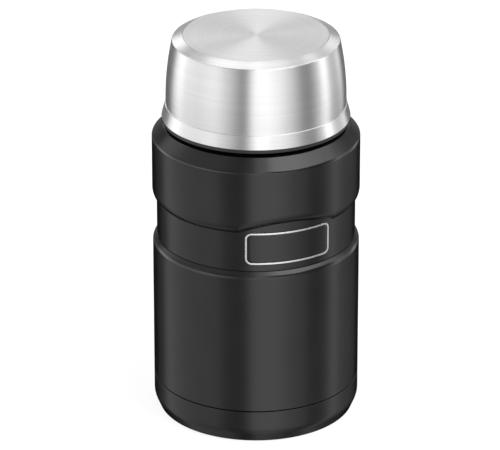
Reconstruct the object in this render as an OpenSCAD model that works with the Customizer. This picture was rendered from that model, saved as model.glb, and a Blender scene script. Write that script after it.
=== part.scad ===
// Insulated food jar: a double-walled steel jar, a screw-in stopper and a
// double-walled steel bowl that screws over the neck as the lid.
// Millimetres. Z is up, the jar stands on z = 0 and its axis is x = y = 0.
// The nameplate faces -Y.

/* [Jar body] */
// Diameter of the upper section of the body
upper_d = 104; // [100:0.5:112]
// How far the lower section's side lies inside the upper section's
lower_inset = 0.15; // [0:0.05:1]
// Depth of the grip band below the upper section's side
band_depth = 2.2; // [1.5:0.1:4]
// Thickness of the outer steel wall
shell_wall = 0.5; // [0.4:0.1:1]
// Height of the top of the lower section
lower_top = 91.8; // [80:0.1:93]
// Height of the rounding on the lower section's top edge
lower_round = 2.6; // [1.5:0.1:6]
// Height of the grip band, from the lower section to the upper one
band_h = 23.1; // [20:0.1:30]
// Height of the rounding on the upper section's bottom edge
upper_round = 4.4; // [2:0.1:6]

/* [Shoulder and neck] */
// Height of the flat ledge at the foot of the neck
ledge_h = 152.1; // [149:0.1:154]
// Width of the ledge round the neck
ledge_w = 5.3; // [4:0.05:8]
// Slope of the shoulder, up from level, in degrees
shoulder_slope = 31.8; // [28:0.1:40]
// Radius between the upper section and the shoulder
shoulder_radius = 2.1; // [1.5:0.1:5]
// Height of the neck above the ledge
neck_h = 15.9; // [15.5:0.1:17.5]
// Thickness of the neck, from the mouth to its outside
neck_w = 2.6; // [2.2:0.1:4]

/* [Badge arch and nameplate] */
// Width of the arch cut over the nameplate
arch_w = 52; // [50:1:60]
// Rise of the arch over the edge of the upper section
arch_rise = 4.8; // [3:0.1:7]
// Width of the nameplate with its border
plate_w = 45; // [30:1:48]
// Height of the nameplate with its border
plate_h = 16.8; // [10:0.1:18]
// How far the nameplate sits above the band's middle
plate_lift = 2.4; // [0:0.1:2.5]
// Corner radius of the nameplate
plate_corner = 3.2; // [1:0.1:4]
// Width of the border strip
border_w = 0.9; // [0.6:0.1:2]
// How far the plate stands out from the band
plate_t = 0.35; // [0.2:0.05:1]
// How far the border stands out beyond the plate
border_lift = 0.15; // [0.1:0.05:0.5]

/* [Base] */
// Height of the seam between base cup and shell
seam_h = 17.3; // [14:0.1:22]
// Width of the groove that shows at the seam
seam_gap = 0.3; // [0.2:0.1:0.6]
// Width of the bevel at the foot
foot_bevel_w = 2.7; // [1.5:0.1:4]
// Height of the bevel at the foot
foot_bevel_h = 6.3; // [4:0.1:7]
// Radius between the bevel and the side
foot_round = 8; // [4:0.5:9]
// Radius of the edge under the bevel
foot_edge = 1.2; // [0.9:0.1:1.6]
// Width of the flat ring that the jar stands on
foot_ring_w = 3; // [2:0.1:6]
// Depth of the hollow inside the foot ring
foot_hollow = 2.2; // [1:0.1:4]
// Height of the plate that closes the vacuum space
vacuum_plate_h = 12; // [11:0.1:13]

/* [Inner liner] */
// Inside diameter of the food space
liner_d = 84; // [80:0.5:88]
// Thickness of the liner
liner_wall = 0.5; // [0.4:0.1:0.8]
// Space between the liner's bottom and the plate under it
vacuum_gap = 3.5; // [3:0.1:8]
// Corner radius of the liner's bottom
liner_corner = 9; // [5:0.5:14]
// Height of the weld above the rounded corner of the liner's bottom
weld_rise = 5; // [2:0.5:20]
// Inside diameter of the neck
mouth_d = 73; // [68:0.5:80]
// Width of the conical seat for the stopper's gasket
seat_w = 3.2; // [2.8:0.1:4]
// Depth of the bottom edge of the gasket's seat below the mouth
seat_depth = 17; // [16:0.1:20]
// Rise of the conical seat
seat_rise = 3.5; // [3:0.1:4]
// Height over which the liner closes in towards the seat
liner_taper_h = 12.8; // [8:0.1:20]
// Thickness of the radiation foil as built
foil_t = 0.3; // [0.2:0.05:0.4]

/* [Threads] */
// Rise of every thread in one turn
thread_lead = 12; // [9:0.5:15]
// Number of starts of every thread
thread_starts = 3; // [2:1:3]
// Width of a ridge where it leaves the wall
ridge_base = 1.7; // [1.2:0.1:1.8]
// Width of a ridge at its crest
ridge_crest = 1; // [0.6:0.1:1.1]
// Turn covered by one ridge, in degrees
ridge_turn = 200; // [120:10:220]
// Height of an outside ridge
ridge_h = 1.2; // [0.9:0.05:1.3]
// Height of the start of the neck's ridges above the ledge
neck_thread_rise = 5.9; // [5.7:0.1:6.7]
// Height of the start of the mouth's ridges above the gasket's seat
mouth_thread_rise = 2.2; // [2:0.1:3]
// Running clearance between pieces that turn in each other
clear = 0.35; // [0.3:0.05:0.4]

/* [Stopper] */
// Height of the stopper's cap above its flange
cap_h = 15.3; // [13:0.1:16]
// Thickness of the flange that rests on the mouth
flange_t = 3; // [2:0.1:4]
// How far the flange lies inside the outside of the neck
flange_inset = 1.4; // [1:0.1:2]
// Width of the flange round the grip part of the cap
flange_w = 2.2; // [1.2:0.1:4]
// Number of finger scallops round the cap
scallops = 28; // [16:1:36]
// Radius of a finger scallop
scallop_r = 2.2; // [1.5:0.1:3]
// Diameter of the finger hollow in the cap
finger_d = 54; // [44:1:58]
// Depth of the finger hollow
finger_depth = 7; // [5:0.1:7.5]
// Width of the grip bar across the finger hollow
bar_w = 12; // [8:0.5:18]
// Wall thickness of the stopper's plastic pieces
stopper_wall = 1.8; // [1.4:0.1:2.2]
// Height of the gasket
gasket_h = 3.6; // [3:0.1:4.5]
// Thickness of the foot flange that holds the gasket
gasket_foot = 1.6; // [1.2:0.1:2]

/* [Bowl] */
// Height of the steel bowl's rim above the jar's ledge
bowl_gap = 4.8; // [4.5:0.1:5.5]
// How far the bowl's rim reaches out over the jar's ledge
rim_overhang = 2.65; // [1:0.05:4]
// Height of the flared rim band
bowl_band_h = 6.8; // [4:0.1:8]
// How far the flared band leans in from the rim to its top
band_lean = 1.8; // [0:0.1:2.2]
// Depth of the step above the band
bowl_step = 0.34; // [0.2:0.02:0.6]
// Height from the rim to the top edge of the side wall
bowl_side_h = 40.1; // [38:0.1:46]
// How far the side wall leans in from the step to its top edge
side_lean = 3.31; // [1:0.01:4]
// How far the side wall swells outwards at half height
bowl_swell = 0.95; // [0:0.05:2]
// Width of the sloping ring between side wall and disc
slope_ring_w = 5.4; // [3:0.1:9]
// Height of the sloping ring between side wall and disc
disc_rise = 2.2; // [1.5:0.1:3]
// Thickness of the bowl's steel walls
bowl_wall = 0.5; // [0.4:0.05:0.7]
// Gap between the bowl's two bottoms
bowl_bottom_gap = 3.4; // [2:0.1:5]
// Width of the step over the collar that the seal ring lies against
throat_step = 0.9; // [0.5:0.1:2]
// How far the bowl's inside leans in from the step to its bottom corner
bowl_inner_lean = 2.4; // [1.5:0.1:6]
// Corner radius inside the bowl
bowl_corner = 6; // [4:0.5:8]
// How far the collar's lip lies inside the steel rim
lip_inset = 0.25; // [0:0.05:2]
// Height of the collar's lip
lip_h = 2; // [1.6:0.1:2.6]
// Thickness of the collar's sleeve
collar_wall = 1.55; // [1.3:0.05:2]
// Height of the bowl's seal ring
seal_h = 2; // [1.6:0.1:2.4]

/* [Hidden] */

$fn = 96;
arc_steps = 8;         // points on each rounded stretch of an outline
thread_step = 10;      // degrees between the rings of a thread ridge
root_sink = 0.3;       // how deep a ridge is rooted in its wall
bond = 0.05;           // film of glue or weld between fixed pieces
arch_floor = 0.05;     // how much the arch's floor stands out from the band
fit_gap = 0.1;         // gap between fixed sleeves that slide into each other
seat_gap = 0.3;        // what a screwed-down piece keeps from its stop
over = 1;              // how far a cutter runs past what it cuts

upper_r = upper_d / 2;
lower_r = upper_r - lower_inset;
band_r = upper_r - band_depth;
upper_bottom = lower_top + band_h;
mouth_r = mouth_d / 2;
neck_r = mouth_r + neck_w;
ledge_r = neck_r + ledge_w;
mouth_h = ledge_h + neck_h;
seat_r = mouth_r - seat_w;
seat_h = mouth_h - seat_depth;
liner_r = liner_d / 2;
liner_close_h = seat_h - 1.2;
liner_shoulder_h = liner_close_h - liner_taper_h;
liner_bottom_h = vacuum_plate_h + shell_wall + vacuum_gap;
liner_weld_h = liner_bottom_h + liner_corner + weld_rise;
foot_r = lower_r - foot_bevel_w;
foot_slope = atan(foot_bevel_w / foot_bevel_h);
foot_top_h = foot_bevel_h + foot_round * tan(foot_slope / 2);
sleeve_r = lower_r - shell_wall - fit_gap;
shell_bottom = foot_top_h + 0.5;

thread_pitch = thread_lead / thread_starts;
inner_ridge_h = ridge_h - clear;
neck_crest_r = neck_r + ridge_h;
collar_bore_r = neck_crest_r + clear;
collar_crest_r = neck_r + clear;
plug_crest_r = mouth_r - clear;
plug_r = plug_crest_r - ridge_h + 0.05;
mouth_crest_r = plug_r + clear + 0.1;
neck_thread_h = ledge_h + neck_thread_rise;
mouth_thread_h = seat_h + seat_rise + mouth_thread_rise;

tube_bottom = seat_h + gasket_h + 0.7;
gasket_top = tube_bottom - seat_gap;
tube_top = mouth_h + seat_gap;
flange_r = neck_r - flange_inset;
grip_r = flange_r - flange_w;
cap_top = tube_top + cap_h;
cap_floor = cap_top - finger_depth;

rim_h = ledge_h + bowl_gap;
rim_r = ledge_r + rim_overhang;
band_top_r = rim_r - band_lean;
side_low_r = band_top_r - bowl_step;
side_top_r = side_low_r - side_lean;
disc_r = side_top_r - slope_ring_w;
lip_r = rim_r - lip_inset;
side_top = rim_h + bowl_side_h;
bowl_top = side_top + disc_rise;
collar_bottom = rim_h - lip_h;
sleeve_out_r = collar_bore_r + collar_wall;
throat_r = sleeve_out_r - throat_step;
floor_r = throat_r - bowl_inner_lean;
seal_bottom = mouth_h + seat_gap;
seal_top = seal_bottom + seal_h;
ceiling_h = bowl_top - bowl_wall - bowl_bottom_gap;

steel = [0.78, 0.78, 0.79];
black = [0.13, 0.13, 0.14];
plastic = [0.08, 0.08, 0.085];
silicone = [0.55, 0.56, 0.58];

// Points of an elliptic arc round (cr, cz) from angle a0 to a1
function arc(cr, cz, w, h, a0, a1) =
    [for (i = [0:arc_steps]) let (a = a0 + (a1 - a0) * i / arc_steps)
        [cr + w * cos(a), cz + h * sin(a)]];

// Outline of the body from its bottom to the mouth, moved inwards by inset
function body_outline(inset, top) =
    let (turn = 90 - shoulder_slope,
         corner_h = ledge_h - (upper_r - ledge_r) * tan(shoulder_slope),
         centre_h = corner_h - shoulder_radius * tan(turn / 2),
         round_r = shoulder_radius - inset,
         end_r = upper_r - shoulder_radius + round_r * cos(turn),
         end_h = centre_h + round_r * sin(turn),
         flat_h = ledge_h - inset)
    concat(
        [[sleeve_r - inset, shell_bottom - (inset > 0 ? over : 0)],
         [sleeve_r - inset, seam_h + seam_gap + inset],
         [lower_r - inset, seam_h + seam_gap + inset]],
        arc(band_r, lower_top - lower_round, lower_r - band_r - inset, lower_round - inset, 0, 90),
        [[band_r - inset, lower_top - inset], [band_r - inset, upper_bottom + inset]],
        arc(band_r, upper_bottom + upper_round, upper_r - band_r - inset, upper_round - inset, -90, 0),
        arc(upper_r - shoulder_radius, centre_h, round_r, round_r, 0, turn),
        [[end_r - (flat_h - end_h) / tan(shoulder_slope), flat_h],
         [neck_r - inset, flat_h], [neck_r - inset, top]]);

// A solid turned from an outline that is closed along the axis
module turned(outline) {
    first = outline[0];
    last = outline[len(outline) - 1];
    rotate_extrude() polygon(concat([[0, first[1]]], outline, [[0, last[1]]]));
}

// A ring with a square section
module ring(r_in, r_out, z0, z1) {
    rotate_extrude() translate([r_in, z0]) square([r_out - r_in, z1 - z0]);
}

// One helical ridge, as a chain of four-cornered rings that climb with the angle
module ridge(root_r, crest_r, z0, start_angle) {
    n = ceil(ridge_turn / thread_step);
    b = ridge_base / 2;
    c = ridge_crest / 2;
    section = root_r < crest_r ? [[root_r, b], [crest_r, c], [crest_r, -c], [root_r, -b]]
                               : [[root_r, -b], [crest_r, -c], [crest_r, c], [root_r, b]];
    points = [for (i = [0:n]) let (a = ridge_turn * i / n)
        for (p = section) [p[0] * cos(start_angle + a), p[0] * sin(start_angle + a),
                           z0 + thread_lead * a / 360 + p[1]]];
    sides = [for (i = [0:n - 1], k = [0:3]) let (m = (k + 1) % 4)
        each [[4 * i + k, 4 * (i + 1) + k, 4 * (i + 1) + m], [4 * i + k, 4 * (i + 1) + m, 4 * i + m]]];
    polyhedron(points, concat([[0, 1, 2], [0, 2, 3]], sides,
                              [[4 * n + 2, 4 * n + 1, 4 * n], [4 * n + 3, 4 * n + 2, 4 * n]]));
}

// A full set of ridges, one for each start
module thread(root_r, crest_r, z0) {
    for (i = [0:thread_starts - 1]) ridge(root_r, crest_r, z0, 360 * i / thread_starts);
}

// Height of the arch's edge at distance s along the band from the middle
arch_r = (arch_w * arch_w / 4 + arch_rise * arch_rise) / (2 * arch_rise);
function arch_edge(s) = upper_bottom + arch_rise - arch_r + sqrt(arch_r * arch_r - s * s);

// What the arch takes out of the upper section: everything outside the band
// and under a rounded edge that follows the arch
module arch_cutter() {
    n = 26;
    half_angle = (arch_w / 2 + 4) / band_r * 180 / PI;
    step_w = upper_r - band_r;
    round_pts = [for (i = [0:4]) let (a = -90 + 18 * i)
        [band_r + step_w * cos(a), upper_round * (1 + sin(a))]];
    run_out = round_pts[4] + 3 * (round_pts[4] - round_pts[3]);
    section = concat([[band_r - over, 0]], round_pts, [run_out]);
    m = len(section) + 2;
    floor_h = upper_bottom - 6;
    points = [for (i = [0:n]) let (a = half_angle * (2 * i / n - 1), e = arch_edge(a * PI / 180 * band_r))
        for (p = concat([for (q = section) [q[0], e + q[1]]],
                        [[run_out[0], floor_h], [band_r - over, floor_h]]))
            [p[0] * sin(a), -p[0] * cos(a), p[1]]];
    sides = [for (i = [0:n - 1], k = [0:m - 1]) let (j = (k + 1) % m)
        each [[m * i + k, m * (i + 1) + j, m * i + j], [m * i + k, m * (i + 1) + k, m * (i + 1) + j]]];
    hub = m - 2;
    first = [for (k = [0:m - 1]) if (k != hub && (k + 1) % m != hub) [hub, k, (k + 1) % m]];
    last = [for (f = first) [m * n + f[2], m * n + f[1], m * n + f[0]]];
    difference() {
        polyhedron(points, concat(first, sides, last));
        cylinder(r = band_r + arch_floor, h = mouth_h);
    }
}

// The part of the inside wall that is pushed in behind the arch
module arch_backing() {
    half_angle = (arch_w / 2 + 2) / band_r * 180 / PI;
    rotate([0, 0, -90 - half_angle]) rotate_extrude(angle = 2 * half_angle)
        translate([band_r - shell_wall, upper_bottom - shell_wall])
            square([upper_r - band_r + over, arch_rise + upper_round + 2 * shell_wall]);
}

module outer_shell() {
    color(black) {
        difference() {
            turned(body_outline(0, mouth_h - liner_wall));
            arch_cutter();
            difference() {
                turned(body_outline(shell_wall, mouth_h + over));
                arch_backing();
            }
        }
        thread(neck_r - root_sink, neck_crest_r, neck_thread_h);
    }
}

// Outline of the foot from its ring up to the side, moved inwards by inset
function foot_outline(inset) =
    let (low_r = foot_edge - inset, high_r = foot_round - inset)
    concat(arc(foot_r - foot_edge * tan((90 - foot_slope) / 2), foot_edge, low_r, low_r, -90, -foot_slope),
           arc(lower_r - foot_round, foot_top_h, high_r, high_r, -foot_slope, 0));

module base_cup() {
    ring_r = foot_r - foot_ring_w;
    slope_w = foot_hollow * 0.6;
    color(black) rotate_extrude() difference() {
        polygon(concat([[0, seam_h], [0, foot_hollow], [ring_r - slope_w, foot_hollow], [ring_r, 0]],
                       foot_outline(0), [[lower_r, seam_h]]));
        polygon(concat([[0, seam_h + over], [0, foot_hollow + shell_wall],
                        [ring_r - slope_w + shell_wall / 2, foot_hollow + shell_wall],
                        [ring_r + shell_wall / 2, shell_wall]],
                       foot_outline(shell_wall), [[lower_r - shell_wall, seam_h + over]]));
    }
}

port_r = 1.5;          // radius of the evacuation hole
dimple_r = 9;          // radius of the dimple round it
dimple_depth = 1.4;    // depth of that dimple

module vacuum_bottom() {
    plate_r = sleeve_r - shell_wall - fit_gap;
    color(steel) difference() {
        union() {
            ring(plate_r - shell_wall, plate_r, shell_bottom, vacuum_plate_h + shell_wall);
            translate([0, 0, vacuum_plate_h]) cylinder(r = plate_r, h = shell_wall);
            translate([0, 0, vacuum_plate_h - dimple_depth]) cylinder(r = dimple_r, h = dimple_depth + over / 2);
        }
        translate([0, 0, vacuum_plate_h - dimple_depth + shell_wall])
            cylinder(r = dimple_r - shell_wall, h = dimple_depth + over);
        translate([0, 0, vacuum_plate_h - 2 * dimple_depth]) cylinder(r = port_r, h = 4 * dimple_depth);
    }
}

module port_seal() {
    bead_top = vacuum_plate_h - dimple_depth - bond;
    color("silver") translate([0, 0, bead_top]) rotate_extrude()
        polygon(concat([[0, 0]], [for (a = [0:-15:-90]) [2 * port_r * cos(a), 1.2 * sin(a)]]));
}

module getter() {
    color("dimgray") translate([20, 0, vacuum_plate_h + shell_wall + bond]) cylinder(r = 5, h = 1.6);
}

module inner_liner() {
    out_r = mouth_r + liner_wall;
    color(steel) {
        rotate_extrude() difference() {
            polygon([[0, liner_weld_h], [liner_r + liner_wall, liner_weld_h],
                     [liner_r + liner_wall, liner_shoulder_h + 0.5], [out_r, liner_close_h - 3],
                     [out_r, mouth_h - liner_wall], [neck_r, mouth_h - liner_wall],
                     [neck_r, mouth_h], [0, mouth_h]]);
            polygon([[0, liner_weld_h - over], [liner_r, liner_weld_h - over], [liner_r, liner_shoulder_h],
                     [seat_r, liner_close_h], [seat_r, seat_h], [mouth_r, seat_h + seat_rise],
                     [mouth_r, mouth_h + over], [0, mouth_h + over]]);
        }
        thread(mouth_r + root_sink, mouth_crest_r, mouth_thread_h + thread_pitch / 2);
    }
}

module liner_bottom() {
    out_r = liner_r + liner_wall;
    in_corner = liner_corner - liner_wall;
    top = liner_weld_h - bond;
    color(steel) rotate_extrude() difference() {
        polygon(concat([[0, top], [0, liner_bottom_h]],
                       arc(out_r - liner_corner, liner_bottom_h + liner_corner,
                           liner_corner, liner_corner, -90, 0), [[out_r, top]]));
        polygon(concat([[0, top + over], [0, liner_bottom_h + liner_wall]],
                       arc(out_r - liner_corner, liner_bottom_h + liner_corner, in_corner, in_corner, -90, 0),
                       [[liner_r, top + over]]));
    }
}

module radiation_foil() {
    in_r = liner_r + liner_wall + fit_gap;
    color("orange") ring(in_r, in_r + foil_t, liner_weld_h + 2, liner_shoulder_h - 2);
}

// A rectangle with round corners, made from squares and circles
module rounded(w, h, r) {
    square([w - 2 * r, h], center = true);
    square([w, h - 2 * r], center = true);
    for (x = [-1, 1], y = [-1, 1]) translate([x * (w / 2 - r), y * (h / 2 - r)]) circle(r);
}

plate_mid_h = (lower_top + upper_bottom) / 2 + plate_lift;

// The band's skin from its wall out to the given thickness, in front of the jar only
module band_skin(t) {
    difference() {
        translate([0, 0, lower_top]) cylinder(r = band_r + bond + t, h = upper_bottom - lower_top);
        translate([0, 0, lower_top - over])
            cylinder(r = band_r + bond, h = upper_bottom - lower_top + 2 * over);
    }
}

// A tool that points out to the front, at the height of the nameplate's middle
module front_tool() {
    translate([0, -band_r / 2, plate_mid_h]) rotate([90, 0, 0]) linear_extrude(band_r) children();
}

module nameplate() {
    inner_w = plate_w - 2 * border_w - 2 * fit_gap;
    inner_h = plate_h - 2 * border_w - 2 * fit_gap;
    color(black) intersection() {
        band_skin(plate_t);
        front_tool() rounded(inner_w, inner_h, plate_corner - border_w);
    }
}

module nameplate_border() {
    color("silver") intersection() {
        band_skin(plate_t + border_lift);
        front_tool() difference() {
            rounded(plate_w, plate_h, plate_corner);
            rounded(plate_w - 2 * border_w, plate_h - 2 * border_w, plate_corner - border_w);
        }
    }
}

module stopper_cap() {
    edge = 1.6;
    foam_top = cap_floor - stopper_wall;
    color(plastic) difference() {
        turned(concat([[flange_r, tube_top]],
                      arc(flange_r - edge / 2, tube_top + flange_t - edge / 2, edge / 2, edge / 2, 0, 90),
                      [[grip_r, tube_top + flange_t]],
                      arc(grip_r - 1 - edge, cap_top - edge, edge, edge, 0, 90)));
        translate([0, 0, tube_top - over]) cylinder(r = plug_r - stopper_wall, h = foam_top - tube_top + over);
        for (i = [0:scallops - 1]) rotate([0, 0, 360 * i / scallops])
            translate([grip_r + scallop_r * 0.45, 0, tube_top + flange_t + 0.8]) cylinder(r = scallop_r, h = cap_h);
        difference() {
            translate([0, 0, cap_floor]) cylinder(r = finger_d / 2, h = finger_depth + over);
            translate([-finger_d, -bar_w / 2, cap_floor - over]) cube([2 * finger_d, bar_w, cap_h]);
        }
    }
}

module stopper_body() {
    color(plastic) {
        ring(plug_r - stopper_wall, plug_r, tube_bottom, tube_top);
        thread(plug_r - root_sink, plug_crest_r, mouth_thread_h);
    }
}

// Heights and radii that the stopper's base and gasket share
gasket_in_r = seat_r - 2;
base_spigot_h = 2.6;

module stopper_base() {
    foot_top = seat_h + 0.2;
    spigot_r = plug_r - stopper_wall - fit_gap;
    wall_r = gasket_in_r - clear;
    color(plastic) rotate_extrude() difference() {
        polygon([[0, foot_top - gasket_foot], [seat_r - clear - 0.15, foot_top - gasket_foot],
                 [seat_r - clear - 0.15, foot_top], [wall_r, foot_top], [wall_r, tube_bottom],
                 [spigot_r, tube_bottom], [spigot_r, tube_bottom + base_spigot_h],
                 [0, tube_bottom + base_spigot_h]]);
        translate([0, foot_top]) square([wall_r - stopper_wall, tube_bottom + base_spigot_h]);
    }
}

module stopper_foam() {
    low_r = gasket_in_r - clear - stopper_wall - fit_gap;
    high_r = plug_r - stopper_wall - fit_gap;
    low = seat_h + 0.2 + bond;
    step = tube_bottom + base_spigot_h + bond;
    color("ivory") rotate_extrude()
        polygon([[0, low], [low_r, low], [low_r, step], [high_r, step],
                 [high_r, cap_floor - stopper_wall - bond], [0, cap_floor - stopper_wall - bond]]);
}

module stopper_gasket() {
    slope = seat_rise / (mouth_r - seat_r);
    rise = seat_gap * sqrt(1 + slope * slope);
    out_r = mouth_crest_r - clear;
    color(silicone) rotate_extrude()
        polygon([[gasket_in_r, seat_h + rise], [seat_r, seat_h + rise],
                 [out_r, seat_h + rise + (out_r - seat_r) * slope], [out_r, gasket_top],
                 [gasket_in_r, gasket_top]]);
}

// Outline of the bowl's outer wall from the rim to the disc, moved inwards by inset
function bowl_outline(inset) =
    let (band_top = rim_h + bowl_band_h, n = 12, tall = side_top - inset - band_top)
    concat([[rim_r - inset, rim_h - (inset > 0 ? over : 0)], [rim_r - inset, rim_h],
            [band_top_r - inset, band_top]],
           [for (i = [0:n]) let (t = i / n)
               [side_low_r - side_lean * t + bowl_swell * 4 * t * (1 - t) - inset,
                band_top + tall * t]],
           [[disc_r, bowl_top - inset]]);

disc_seat_w = 2;       // width of the ring that the bowl's disc lies on

module bowl_outer() {
    color(steel) difference() {
        turned(bowl_outline(0));
        difference() {
            turned(bowl_outline(bowl_wall));
            ring(disc_r - disc_seat_w, disc_r + bowl_wall, bowl_top - 2 * bowl_wall, bowl_top);
        }
        translate([0, 0, bowl_top - bowl_wall]) cylinder(r = disc_r, h = bowl_wall + over);
        translate([0, 0, bowl_top - 3 * bowl_wall])
            cylinder(r = disc_r - disc_seat_w, h = 3 * bowl_wall + over);
    }
}

module bowl_disc() {
    color(steel) translate([0, 0, bowl_top - bowl_wall]) cylinder(r = disc_r - fit_gap, h = bowl_wall);
}

module bowl_inner() {
    in_r = sleeve_out_r + fit_gap;
    step_h = seal_top + seat_gap;
    flange_out_r = rim_r - bowl_wall - 0.5;
    lip_top = rim_h + bowl_wall;
    color(steel) rotate_extrude() difference() {
        polygon(concat([[0, rim_h], [flange_out_r, rim_h], [flange_out_r, lip_top],
                        [in_r + bowl_wall, lip_top], [in_r + bowl_wall, step_h + bowl_wall],
                        [throat_r + bowl_wall, step_h + bowl_wall]],
                       arc(floor_r - bowl_corner, ceiling_h - bowl_corner, bowl_corner + bowl_wall,
                           bowl_corner + bowl_wall, 0, 90),
                       [[0, ceiling_h + bowl_wall]]));
        polygon(concat([[0, rim_h - over], [in_r, rim_h - over], [in_r, step_h], [throat_r, step_h]],
                       arc(floor_r - bowl_corner, ceiling_h - bowl_corner, bowl_corner, bowl_corner, 0, 90),
                       [[0, ceiling_h]]));
    }
}

module bowl_collar() {
    edge = 0.4;
    color(plastic) {
        rotate_extrude() polygon([[collar_bore_r, collar_bottom], [lip_r - edge, collar_bottom],
                                  [lip_r, collar_bottom + edge], [lip_r, rim_h - edge],
                                  [lip_r - edge, rim_h], [sleeve_out_r, rim_h],
                                  [sleeve_out_r, mouth_h], [collar_bore_r, mouth_h]]);
        thread(collar_bore_r + root_sink, collar_crest_r, neck_thread_h + thread_pitch / 2 - thread_pitch);
    }
}

module bowl_seal() {
    color(silicone) ring(flange_r + clear + 0.1, sleeve_out_r - clear, seal_bottom, seal_top);
}

outer_shell();
base_cup();
vacuum_bottom();
port_seal();
getter();
inner_liner();
liner_bottom();
radiation_foil();
nameplate();
nameplate_border();
stopper_cap();
stopper_body();
stopper_base();
stopper_foam();
stopper_gasket();
bowl_outer();
bowl_disc();
bowl_inner();
bowl_collar();
bowl_seal();
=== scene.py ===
"""Insulated food jar: the looks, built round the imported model.

Sizes are millimetres, as in the part's source, and turn into metres when a mesh is made.
The jar's axis is x = y = 0, it stands on z = 0, and its nameplate faces -Y.
"""

import logging
import math
from dataclasses import dataclass, field
from enum import Enum

import bmesh
import bpy
import numpy as np
from mathutils import Matrix, Vector


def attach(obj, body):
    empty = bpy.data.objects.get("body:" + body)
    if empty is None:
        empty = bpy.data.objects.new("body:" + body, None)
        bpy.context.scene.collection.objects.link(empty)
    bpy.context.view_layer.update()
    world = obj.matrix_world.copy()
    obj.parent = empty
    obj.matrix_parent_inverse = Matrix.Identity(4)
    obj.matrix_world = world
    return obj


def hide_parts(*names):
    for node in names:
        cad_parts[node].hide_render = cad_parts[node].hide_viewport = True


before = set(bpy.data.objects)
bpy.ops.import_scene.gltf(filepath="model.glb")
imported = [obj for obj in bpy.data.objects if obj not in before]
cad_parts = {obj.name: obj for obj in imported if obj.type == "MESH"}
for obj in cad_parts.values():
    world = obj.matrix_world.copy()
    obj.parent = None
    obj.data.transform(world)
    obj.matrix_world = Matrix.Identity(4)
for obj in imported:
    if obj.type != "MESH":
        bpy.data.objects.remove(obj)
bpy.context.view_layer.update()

MM = 0.001
PHOTO_WIDTH = 500
ARC_STEP = 12.0  # degrees between two points of a rounding
WHITE = (1.0, 1.0, 1.0, 1.0)
log = logging.getLogger("food_jar")


class Body(Enum):
    """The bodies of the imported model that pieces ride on."""

    JAR = "jar"
    STOPPER_RING = "stopper_ring"
    STOPPER = "stopper"
    BOWL_RING = "bowl_ring"
    BOWL = "bowl"


class Grain(Enum):
    """What a grain or a brushing follows."""

    PROFILE = "profile"
    HEIGHT = "height"


# ---------------------------------------------------------------- outlines


@dataclass(frozen=True)
class Corner:
    """A corner of a turned outline.

    Args:
        r: distance from the axis.
        z: height.
        fillet: radius of its rounding.
    """

    r: float
    z: float
    fillet: float = 0.0


def fillet_arc(before: np.ndarray, corner: np.ndarray, after: np.ndarray, size: float) -> np.ndarray:
    """The arc that rounds a corner.

    It starts size * tan(turn / 2) before the corner, and its point at angle a is
    start + size * (sin a * incoming direction + (1 - cos a) * direction to the centre).

    Args:
        before: the point before the corner.
        corner: the corner.
        after: the point after it.
        size: the radius.

    Returns:
        The arc's points, one row each.
    """
    into = (corner - before) / np.linalg.norm(corner - before)
    out = (after - corner) / np.linalg.norm(after - corner)
    turn = math.acos(float(np.clip(into @ out, -1.0, 1.0)))
    if turn < 1e-3:
        return corner[None, :]
    side = out - (out @ into) * into
    side /= np.linalg.norm(side)
    start = corner - into * size * math.tan(turn / 2)
    a = np.linspace(0.0, turn, max(3, math.ceil(math.degrees(turn) / ARC_STEP)) + 1)[:, None]
    return start + size * (np.sin(a) * into + (1 - np.cos(a)) * side)


def ellipse(
    r: float, z: float, w: float, h: float, start: float, end: float, count: int
) -> list[Corner]:
    """Corners along an ellipse: (r + w cos a, z + h sin a), with a from start to end in degrees.

    Args:
        r: the centre's distance from the axis.
        z: the centre's height.
        w: half of the width.
        h: half of the height.
        start: first angle.
        end: last angle.
        count: number of steps.

    Returns:
        The corners in order.
    """
    a = np.radians(np.linspace(start, end, count + 1))
    return [Corner(float(p), float(q)) for p, q in zip(r + w * np.cos(a), z + h * np.sin(a))]


def outline(corners: list[Corner], closed: bool = False, step: float = 6.0, hold: float = 0.15) -> np.ndarray:
    """A chain of points with its corners rounded.

    A straight stretch has a point at the distance hold from each end, which keeps the
    shading of a flat face flat right up to its rounding, and others at most step apart.

    Args:
        corners: the corners in order.
        closed: whether the last one joins the first.
        step: longest distance between points.
        hold: distance of the holding points from a stretch's ends.

    Returns:
        Points (r, z), one row each.
    """
    raw = np.array([[c.r, c.z] for c in corners])
    last = len(raw) - 1
    bits = [
        fillet_arc(raw[i - 1], raw[i], raw[(i + 1) % len(raw)], c.fillet)
        if c.fillet and (closed or 0 < i < last)
        else raw[i : i + 1]
        for i, c in enumerate(corners)
    ]
    chain = np.concatenate(bits + ([bits[0][:1]] if closed else []))
    made = [chain[:1]]
    for p, q in zip(chain[:-1], chain[1:]):
        length = float(np.linalg.norm(q - p))
        if length > 4 * hold:
            edge = hold / length
            t = np.linspace(edge, 1 - edge, math.ceil(length / step) + 1)
            made.append(p + t[:, None] * (q - p))
        made.append(q[None, :])
    points = np.concatenate(made)
    return points[:-1] if closed else points


# ---------------------------------------------------------------- surfaces


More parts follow.
